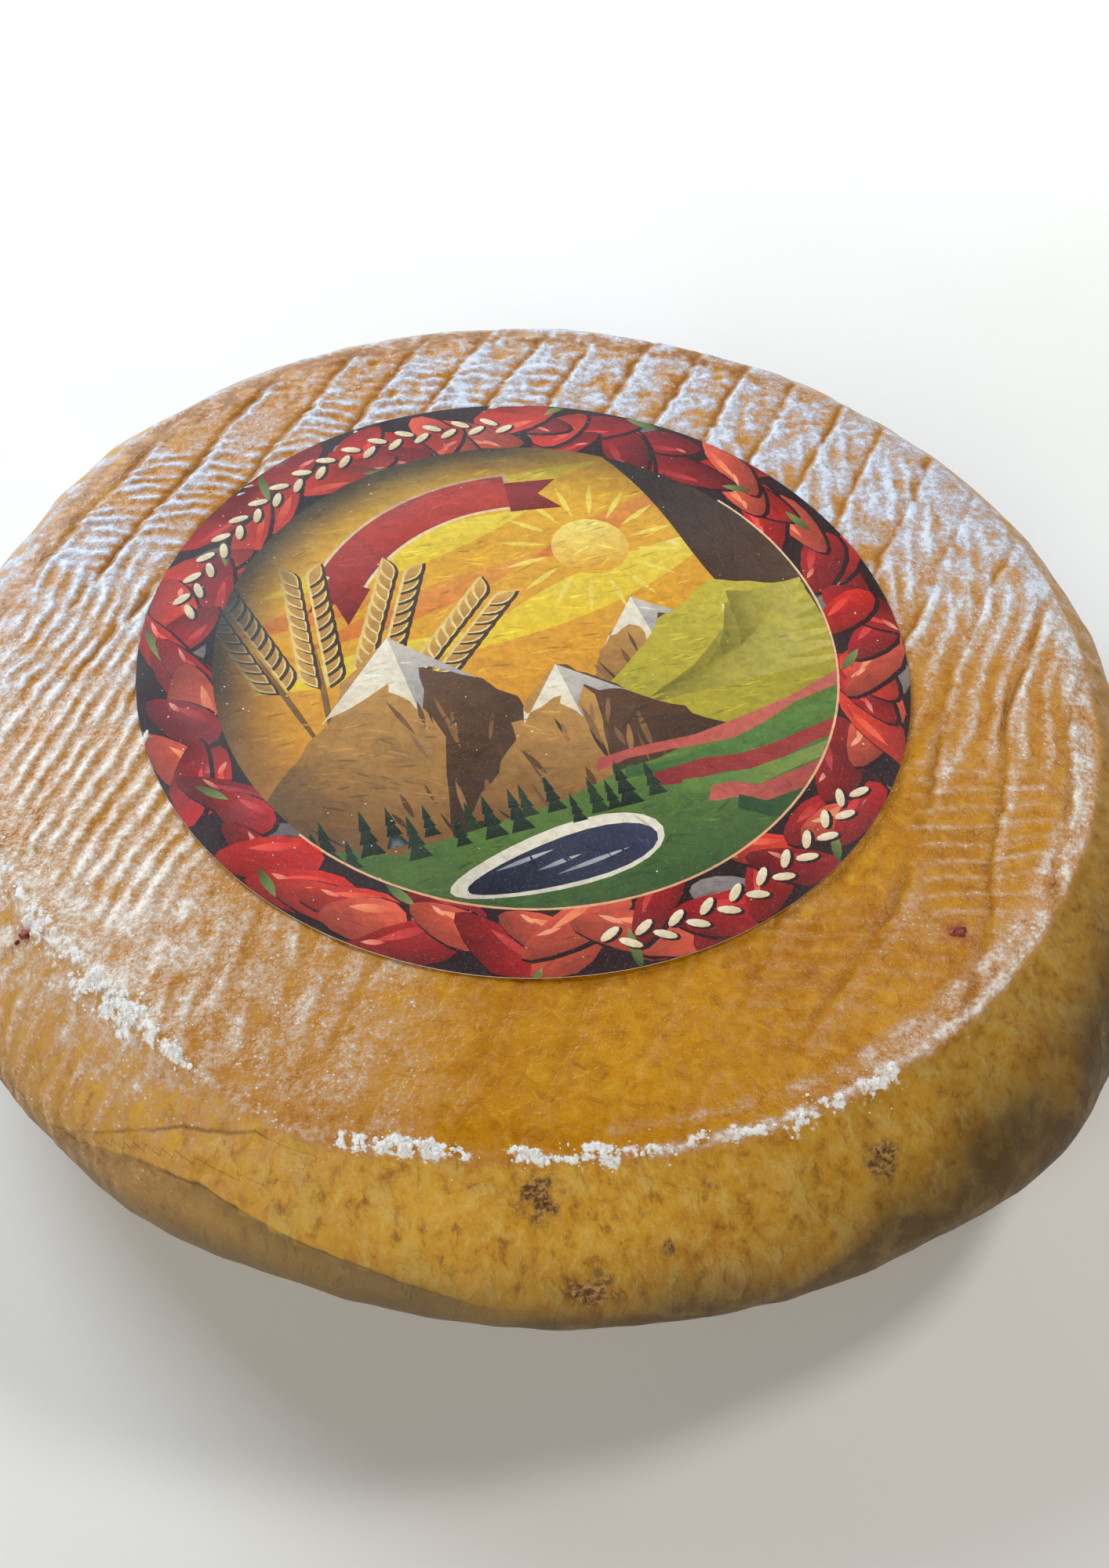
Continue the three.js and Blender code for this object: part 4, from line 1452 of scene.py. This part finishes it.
def inked_corners():
    """One colour for each corner of each triangle."""
    triangle_middles = sheet[corners].mean(axis=1)
    in_ring = np.linalg.norm(triangle_middles, axis=1) > DISC_RADIUS
    top_shape = top_shapes(triangle_middles)
    colours = np.zeros((len(corners), 3, 3))
    colours[in_ring] = soft_ink(RING_GROUND)
    colours[~in_ring] = soft_ink(SKY_GROUND)
    for number, (outline, first, second, axis, _) in enumerate(shapes):
        chosen = top_shape == number
        if chosen.any():
            share = share_along(outline, axis, sheet[corners[chosen]])[..., None]
            colours[chosen] = soft_ink(first) * (1 - share) + soft_ink(second) * share
    spots = sheet[corners]
    distance = np.linalg.norm(spots, axis=2)
    facing = np.cos(np.arctan2(spots[..., 1], spots[..., 0]) - SHADE_FROM)
    picture_shade = smooth(60, 83, distance) * (0.16 + 0.84 * np.clip(facing * 1.1 + 0.25, 0, 1))
    ring_shade = 0.35 * np.clip(facing, 0, 1) * smooth(100, 84, distance)
    shade = np.where(in_ring[:, None], ring_shade, picture_shade * 0.95)
    return colours * (1 - shade[..., None]) + soft_ink(SHADE_INK) * shade[..., None]


ink = inked_corners()
print("ink from", ink.min().round(3), "to", ink.max().round(3))


# %% [markdown]
# ## Print on paper
# A printed colour is never quite even: the picture under it has brush strokes, the press adds a fine
# grain, and the varnish has a soft shine that changes with the paper's slight waves. The paper is a
# little slack near its rim and dips into a crease at its left edge.

# %% Label material and sheet
PAPER_BELOW_TOP = 0.22
PAPER_CREASE_FROM = np.array([-97.0, -22.0])
PAPER_CREASE_STEP = np.array([22.0, -28.0])
PAPER_WHITE = (226, 214, 196)


def label_material():
    recipe = Recipe("printed_paper")
    printed = recipe.attribute("ink", "Color")
    strokes = recipe.noise(120, 4, 0.65, 0.8, recipe.stretched((0.5, 1.3, 1)))
    dabs = recipe.noise(420, 4, 0.7, 0.5)
    grain = recipe.noise(2100, 2, 0.6)
    lighter = recipe.ramp(strokes, 0.35, 0.7, 0.0, 0.5)
    colour = recipe.mix(lighter, printed, linear(255, 232, 190), "SOFT_LIGHT")
    darker = recipe.ramp(dabs, 0.3, 0.6, 0.3, 0.0)
    colour = recipe.mix(darker, colour, linear(120, 60, 40), "MULTIPLY")
    colour = recipe.mix(recipe.ramp(grain, 0.6, 0.8, 0.0, 0.2), colour, linear(232, 214, 190))
    roughness = recipe.ramp(recipe.noise(46, 3, 0.5), 0.3, 0.7, 0.32, 0.42)
    height = recipe.plus(recipe.noise(70, 2, 0.5), recipe.times(grain, 0.05))
    normal = recipe.relief(height, 0.25, 0.0006)
    return recipe.finish(colour, roughness, normal, Coat_Weight=0.1, Coat_Roughness=0.3)


def paper_height(flat):
    """How high the printed side lies, with slow waves, a slack rim and the crease."""
    distance = np.linalg.norm(sheet, axis=1)
    waves = 0.05 * field(flat, 46, 701) + 0.02 * field(flat, 17, 702)
    droop = 0.12 * smooth(84, 102, distance) * (0.5 + 0.5 * field(flat, 70, 703))
    here = sheet - (PAPER_CREASE_FROM - LABEL_CENTRE)
    share = np.clip((here @ PAPER_CREASE_STEP) / (PAPER_CREASE_STEP @ PAPER_CREASE_STEP), 0, 1)
    from_crease = np.linalg.norm(here - share[:, None] * PAPER_CREASE_STEP, axis=1)
    droop += 0.42 * np.exp(-((from_crease / 6.5) ** 2))
    return np.clip(TOP_LIMIT - PAPER_BELOW_TOP + waves - droop, 0, TOP_LIMIT - 0.1)


def facing_up(triangles):
    """Which triangles of the sheet run anticlockwise, seen from above."""
    first, second, third = (sheet[triangles[:, corner]] for corner in range(3))
    one_side = second - first
    other_side = third - first
    return one_side[:, 0] * other_side[:, 1] - one_side[:, 1] * other_side[:, 0] > 0


def label_sheet():
    flat = sheet + LABEL_CENTRE
    top = paper_height(flat)
    upper = np.column_stack([flat, top])
    lower = np.column_stack([flat, top - PAPER_THICKNESS])
    count = len(flat)
    up = facing_up(corners)
    faces = np.where(up[:, None], corners, corners[:, ::-1])
    colours = np.where(up[:, None, None], ink, ink[:, ::-1])
    edges = np.concatenate([faces[:, [0, 1]], faces[:, [1, 2]], faces[:, [2, 0]]])
    known = set(map(tuple, edges.tolist()))
    rim = [(a, b) for a, b in known if (b, a) not in known]
    walls = [(a, a + count, b + count) for a, b in rim] + [(a, b + count, b) for a, b in rim]
    all_faces = faces.tolist() + (faces[:, ::-1] + count).tolist() + walls
    points = to_frame(np.concatenate([upper, lower]))
    piece = piece_from("label_print", points, all_faces, label_material(), smooth_faces=False)
    bare_faces = len(all_faces) - len(faces)
    piece.data.polygons.foreach_set("use_smooth", [True] * len(faces) + [False] * bare_faces)
    bare_corners = np.tile(soft_ink(PAPER_WHITE), (bare_faces * 3, 1))
    loop_colours = np.concatenate([colours.reshape(-1, 3), bare_corners])
    layer = piece.data.color_attributes.new("ink", "FLOAT_COLOR", "CORNER")
    rgba = np.column_stack([loop_colours, np.ones(len(loop_colours))])
    layer.data.foreach_set("color", rgba.astype(np.float32).ravel())
    return piece


label = label_sheet()
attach(label, "root")
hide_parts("label")
print("label triangles", triangles_of(label))


# %% [markdown]
# ## Crumbs and dust by Geometry Nodes
# Loose crumbs repeat one small shape hundreds of times, each turned and sized by chance. That is
# Geometry Nodes' own job: points are spread over a surface as densely as an attribute says, and a
# rough little ball is put on each. The result is turned into a plain mesh.

# %% The scatter tree
BALL_LEAST = (0.6, 0.6, 0.45)
BALL_MOST = (1.3, 1.3, 1.0)
BALL_SHAPE_SEED = 5
BALL_LEAN = 0.5
BALL_TURN = 6.283
BALL_TURN_SEED = 9


def scatter_tree(name, material):
    """Its inputs: balls per square metre, smallest and largest radius in metres, flatness, seed."""
    tree = bpy.data.node_groups.new(name, "GeometryNodeTree")
    sockets = {}
    tree.interface.new_socket("Geometry", in_out="INPUT", socket_type="NodeSocketGeometry")
    for title, kind in (
        ("Density", "NodeSocketFloat"),
        ("Smallest", "NodeSocketFloat"),
        ("Largest", "NodeSocketFloat"),
        ("Flatness", "NodeSocketFloat"),
        ("Seed", "NodeSocketInt"),
    ):
        sockets[title] = tree.interface.new_socket(title, in_out="INPUT", socket_type=kind).identifier
    tree.interface.new_socket("Geometry", in_out="OUTPUT", socket_type="NodeSocketGeometry")
    nodes = tree.nodes
    link = tree.links.new
    given = nodes.new("NodeGroupInput")
    result = nodes.new("NodeGroupOutput")
    where = nodes.new("GeometryNodeInputNamedAttribute")
    where.data_type = "FLOAT"
    where.inputs["Name"].default_value = "where"
    amount = nodes.new("ShaderNodeMath")
    amount.operation = "MULTIPLY"
    link(where.outputs["Attribute"], amount.inputs[0])
    link(given.outputs["Density"], amount.inputs[1])
    spread = nodes.new("GeometryNodeDistributePointsOnFaces")
    link(given.outputs["Geometry"], spread.inputs["Mesh"])
    link(amount.outputs["Value"], spread.inputs["Density"])
    link(given.outputs["Seed"], spread.inputs["Seed"])
    ball = nodes.new("GeometryNodeMeshIcoSphere")
    ball.inputs["Radius"].default_value = 1.0
    ball.inputs["Subdivisions"].default_value = 1
    size = nodes.new("FunctionNodeRandomValue")
    size.data_type = "FLOAT"
    link(given.outputs["Smallest"], size.inputs[2])
    link(given.outputs["Largest"], size.inputs[3])
    link(given.outputs["Seed"], size.inputs["Seed"])
    shape = nodes.new("FunctionNodeRandomValue")
    shape.data_type = "FLOAT_VECTOR"
    shape.inputs[0].default_value = BALL_LEAST
    shape.inputs[1].default_value = BALL_MOST
    shape.inputs["Seed"].default_value = BALL_SHAPE_SEED
    squeeze = nodes.new("ShaderNodeCombineXYZ")
    squeeze.inputs["X"].default_value = 1.0
    squeeze.inputs["Y"].default_value = 1.0
    link(given.outputs["Flatness"], squeeze.inputs["Z"])
    flattened = nodes.new("ShaderNodeVectorMath")
    flattened.operation = "MULTIPLY"
    link(shape.outputs["Value"], flattened.inputs[0])
    link(squeeze.outputs["Vector"], flattened.inputs[1])
    sized = nodes.new("ShaderNodeVectorMath")
    sized.operation = "SCALE"
    link(flattened.outputs["Vector"], sized.inputs[0])
    link(size.outputs[1], sized.inputs["Scale"])
    turn = nodes.new("FunctionNodeRandomValue")
    turn.data_type = "FLOAT_VECTOR"
    turn.inputs[0].default_value = (-BALL_LEAN, -BALL_LEAN, 0.0)
    turn.inputs[1].default_value = (BALL_LEAN, BALL_LEAN, BALL_TURN)
    turn.inputs["Seed"].default_value = BALL_TURN_SEED
    place_balls = nodes.new("GeometryNodeInstanceOnPoints")
    link(spread.outputs["Points"], place_balls.inputs["Points"])
    link(ball.outputs["Mesh"], place_balls.inputs["Instance"])
    link(turn.outputs["Value"], place_balls.inputs["Rotation"])
    link(sized.outputs["Vector"], place_balls.inputs["Scale"])
    real = nodes.new("GeometryNodeRealizeInstances")
    link(place_balls.outputs["Instances"], real.inputs["Geometry"])
    paint = nodes.new("GeometryNodeSetMaterial")
    paint.inputs["Material"].default_value = material
    link(real.outputs["Geometry"], paint.inputs["Geometry"])
    link(paint.outputs["Geometry"], result.inputs["Geometry"])
    return tree, sockets


def scattered(name, bed_points, bed_faces, where, material, settings):
    """A plain mesh of crumbs over a bed that is then taken away."""
    bed = piece_from(name + "_bed", to_frame(bed_points), bed_faces, material)
    keep_value(bed, "where", where)
    tree, sockets = scatter_tree(name + "_tree", material)
    modifier = bed.modifiers.new("scatter", "NODES")
    modifier.node_group = tree
    for title, value in settings.items():
        modifier[sockets[title]] = value
    graph = bpy.context.evaluated_depsgraph_get()
    mesh = bpy.data.meshes.new_from_object(bed.evaluated_get(graph))
    mesh.name = name
    bed.modifiers.clear()
    bpy.data.objects.remove(bed)
    if not mesh.materials:
        mesh.materials.append(material)
    piece = bpy.data.objects.new(name, mesh)
    bpy.context.collection.objects.link(piece)
    return piece


print("scatter tree ready")


# %% [markdown]
# ## Chalky crumbs along the crest
# The crumbs lie thickest where the residue is thickest. Coarse and fine crumbs are scattered
# separately, as a heap always holds many more small ones than large ones.

# %% Crumbs
CRUMBS = {
    "coarse_crumbs": {
        "Density": 900000.0,
        "Smallest": 0.0003,
        "Largest": 0.0008,
        "Flatness": 1.0,
        "Seed": 3,
    },
    "fine_crumbs": {
        "Density": 2600000.0,
        "Smallest": 0.00012,
        "Largest": 0.00034,
        "Flatness": 1.0,
        "Seed": 4,
    },
}
ROWS_WITH_CRUMBS = 34


def chalk_material():
    recipe = Recipe("dry_residue")
    tone = recipe.noise(700, 3, 0.6)
    colour = recipe.mix(recipe.ramp(tone, 0.3, 0.7), linear(248, 248, 250), linear(226, 220, 208))
    normal = recipe.relief(recipe.noise(2400, 2, 0.6), 0.5, 0.0003)
    return recipe.finish(colour, 0.85, normal, Subsurface_Weight=0.1, Subsurface_Scale=0.001)


def patch_of_wheel(chosen_rows, chosen):
    """The lattice's fine faces whose points are chosen, with their own numbering."""
    faces = []
    for row in chosen_rows:
        ring_of = ring_faces(row * FINE_SIDES, (row + 1) * FINE_SIDES, FINE_SIDES)
        faces.append(ring_of[chosen[ring_of].any(axis=1)])
    faces = np.concatenate(faces)
    used, numbers = np.unique(faces, return_inverse=True)
    return used, numbers.reshape(-1, 4).tolist()


chalk = chalk_material()
sprinkle = gate(x, -112, -24, 10) * gate(inside_crest, -3, 24, 5) * (y < 0)
sprinkle += 0.3 * gate(x, -30, 100, 10) * gate(inside_crest, -6, 8, 3) * (y < -60)
crest_rows = range(TOP_ROWS - ROWS_WITH_CRUMBS, fine_rows - 1)
used, crumb_faces = patch_of_wheel(crest_rows, powder + sprinkle > 0.05)
thickness = powder[used] ** 2 * np.clip(0.6 + 0.7 * speckle[used], 0, 2) + 0.05 * powder[used]
thickness += 0.006 * sprinkle[used] * np.clip(speckle[used], 0, 2)
for crumb_name, crumb_settings in CRUMBS.items():
    crumbs = scattered(crumb_name, moved[used], crumb_faces, thickness, chalk, crumb_settings)
    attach(crumbs, "root")
    print(crumb_name, triangles_of(crumbs), "triangles")


# %% Dust on the label
DUST = {"Density": 15000.0, "Smallest": 0.00008, "Largest": 0.0003, "Flatness": 0.45, "Seed": 12}
DUST_BELOW_TOP = 0.26
dust_bed = np.column_stack([grid + LABEL_CENTRE, np.full(len(grid), TOP_LIMIT - DUST_BELOW_TOP)])
dust_cut = delaunay_2d_cdt([Vector(point) for point in grid], [], [], 0, 1e-5, False)
dust_faces = [tuple(face) for face in dust_cut[2]]
dust_where = 0.35 + 0.9 * smooth(20, -90, grid[:, 0]) + 0.3 * smooth(20, 90, grid[:, 1])
dust = scattered("label_dust", dust_bed, dust_faces, dust_where, chalk, DUST)
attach(dust, "root")
print("label dust", triangles_of(dust), "triangles")


# %% [markdown]
# ## Flakes of dried chilli
# Two dark red flakes and a crumb beside one of them stick to the rind. Each is a small bent scale
# with a wandering edge: an outer ring, a raised ring half way in, a middle point, and the same outer
# ring again underneath, sunk a little into the rind.

# %% Flakes
FLAKE_SIDES = 16
FLAKE_SUNK = 0.4
FLAKES_ABOVE = 50
OUT_OF_REACH = 99


def flake_material():
    recipe = Recipe("chilli_flake")
    tone = recipe.noise(900, 3, 0.6)
    colour = recipe.mix(recipe.ramp(tone, 0.3, 0.7), linear(96, 20, 14), linear(156, 50, 30))
    normal = recipe.relief(recipe.noise(1800, 2, 0.6), 0.6, 0.0003)
    return recipe.finish(colour, 0.4, normal)


def flake_points(place, length, width, turn, random):
    away = np.hypot(x - place[0], y - place[1]) + OUT_OF_REACH * (z < FLAKES_ABOVE)
    ground = moved[np.argmin(away)][2]
    edge = leaf((0, 0), length, width, turn, FLAKE_SIDES)
    edge = edge * (1 + 0.1 * random.normal(size=(FLAKE_SIDES, 1)))
    plan_of_top = np.concatenate([edge * 0.98, edge * 0.55, [[0, 0]]])
    heights = np.concatenate([np.full(FLAKE_SIDES, 0.02), np.full(FLAKE_SIDES, 0.2), [0.26]])
    heights = heights + 0.03 * random.normal(size=2 * FLAKE_SIDES + 1)
    upper = np.column_stack([plan_of_top + place, ground + heights])
    lower = np.column_stack([edge * 0.98 + place, np.full(FLAKE_SIDES, ground - FLAKE_SUNK)])
    return np.concatenate([upper, lower, [[*place, ground - FLAKE_SUNK]]])


def flake_faces():
    inner = FLAKE_SIDES
    top_middle = 2 * FLAKE_SIDES
    under = top_middle + 1
    under_middle = under + FLAKE_SIDES
    faces = []
    for step in range(FLAKE_SIDES):
        after = (step + 1) % FLAKE_SIDES
        faces.append((step, after, inner + after, inner + step))
        faces.append((inner + step, inner + after, top_middle))
        faces.append((under + step, under + after, after, step))
        faces.append((under + after, under + step, under_middle))
    return faces


chilli = flake_material()
for number, (flake_x, flake_y, length, width, turn) in enumerate(FLAKES):
    random = np.random.default_rng(800 + number)
    points = flake_points((flake_x, flake_y), length, width, turn, random)
    flake = piece_from(f"chilli_flake_{number + 1}", to_frame(points), flake_faces(), chilli)
    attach(flake, "root")
print("flakes", len(FLAKES))


# %% [markdown]
# ## The floor and the light
# A plain pale floor carries the wheel. The room's window is a large cool panel at the back left, which
# rakes over the prints in the rind, with a weaker one further back and a small lamp at the right. A
# wide soft light from the front keeps the side from going black, and the world is pale only near the
# horizon.

# %% Floor
FLOOR_HALF = 9.0


def plain_floor():
    recipe = Recipe("pale_floor")
    tone = recipe.ramp(recipe.noise(6, 2, 0.5), 0.3, 0.7)
    colour = recipe.mix(tone, linear(236, 235, 232), linear(242, 241, 239))
    material = recipe.finish(colour, 0.9)
    corners = [(-FLOOR_HALF, -FLOOR_HALF, 0), (FLOOR_HALF, -FLOOR_HALF, 0)]
    corners += [(FLOOR_HALF, FLOOR_HALF, 0), (-FLOOR_HALF, FLOOR_HALF, 0)]
    return piece_from("floor", corners, [(0, 1, 2, 3)], material, smooth_faces=False)


floor = plain_floor()
print("floor", FLOOR_HALF * 2, "m wide")


# %% Lights
PANEL_AIM = Vector((0, 0, 0.03))


def panel(name, place, size, power, colour):
    data = bpy.data.lights.new(name, "AREA")
    data.shape = "RECTANGLE"
    data.size, data.size_y = size
    data.energy = power
    data.color = colour
    light = bpy.data.objects.new(name, data)
    light.location = place
    light.rotation_euler = (PANEL_AIM - Vector(place)).to_track_quat("-Z", "Y").to_euler()
    bpy.context.collection.objects.link(light)
    return light


def wide_light(name, place, spread, strength, colour):
    """An even soft light from one side that also reaches the far floor."""
    data = bpy.data.lights.new(name, "SUN")
    data.angle = math.radians(spread)
    data.energy = strength
    data.color = colour
    light = bpy.data.objects.new(name, data)
    light.location = place
    light.rotation_euler = (-Vector(place)).to_track_quat("-Z", "Y").to_euler()
    bpy.context.collection.objects.link(light)
    return light


panel("window", (-0.95, 0.9, 0.85), (0.7, 0.6), power=17.5, colour=(0.79, 0.9, 1.0))
panel("far_window", (-0.3, 1.5, 0.65), (0.9, 0.4), power=6, colour=(0.78, 0.89, 1.0))
panel("lamp", (0.85, 0.6, 1.2), (0.3, 0.3), power=8, colour=(1.0, 0.97, 0.92))
wide_light("room", (-0.5, -1.2, 0.85), spread=50, strength=1.75, colour=(1.0, 0.95, 0.86))
print("three panels and a wide front light")


# %% World
HORIZON_STRENGTH = 0.56
CEILING_STRENGTH = 0.06
PALE_BELOW = 0.08
DIM_ABOVE = 0.42


def soft_room():
    """A world that is pale towards the horizon and dim overhead, so the top isn't washed out."""
    world = bpy.data.worlds.new("soft_room")
    world.use_nodes = True
    tree = world.node_tree
    direction = tree.nodes.new("ShaderNodeTexCoord").outputs["Generated"]
    parts = tree.nodes.new("ShaderNodeSeparateXYZ")
    tree.links.new(direction, parts.inputs["Vector"])
    strength = tree.nodes.new("ShaderNodeMapRange")
    strength.inputs["From Min"].default_value = PALE_BELOW
    strength.inputs["From Max"].default_value = DIM_ABOVE
    strength.inputs["To Min"].default_value = HORIZON_STRENGTH
    strength.inputs["To Max"].default_value = CEILING_STRENGTH
    tree.links.new(parts.outputs["Z"], strength.inputs["Value"])
    background = tree.nodes["Background"]
    background.inputs["Color"].default_value = (0.98, 0.98, 1.0, 1.0)
    tree.links.new(strength.outputs["Result"], background.inputs["Strength"])
    return world


bpy.context.scene.world = soft_room()
bpy.context.scene.view_settings.view_transform = "Standard"
print("a world that is pale at the horizon")
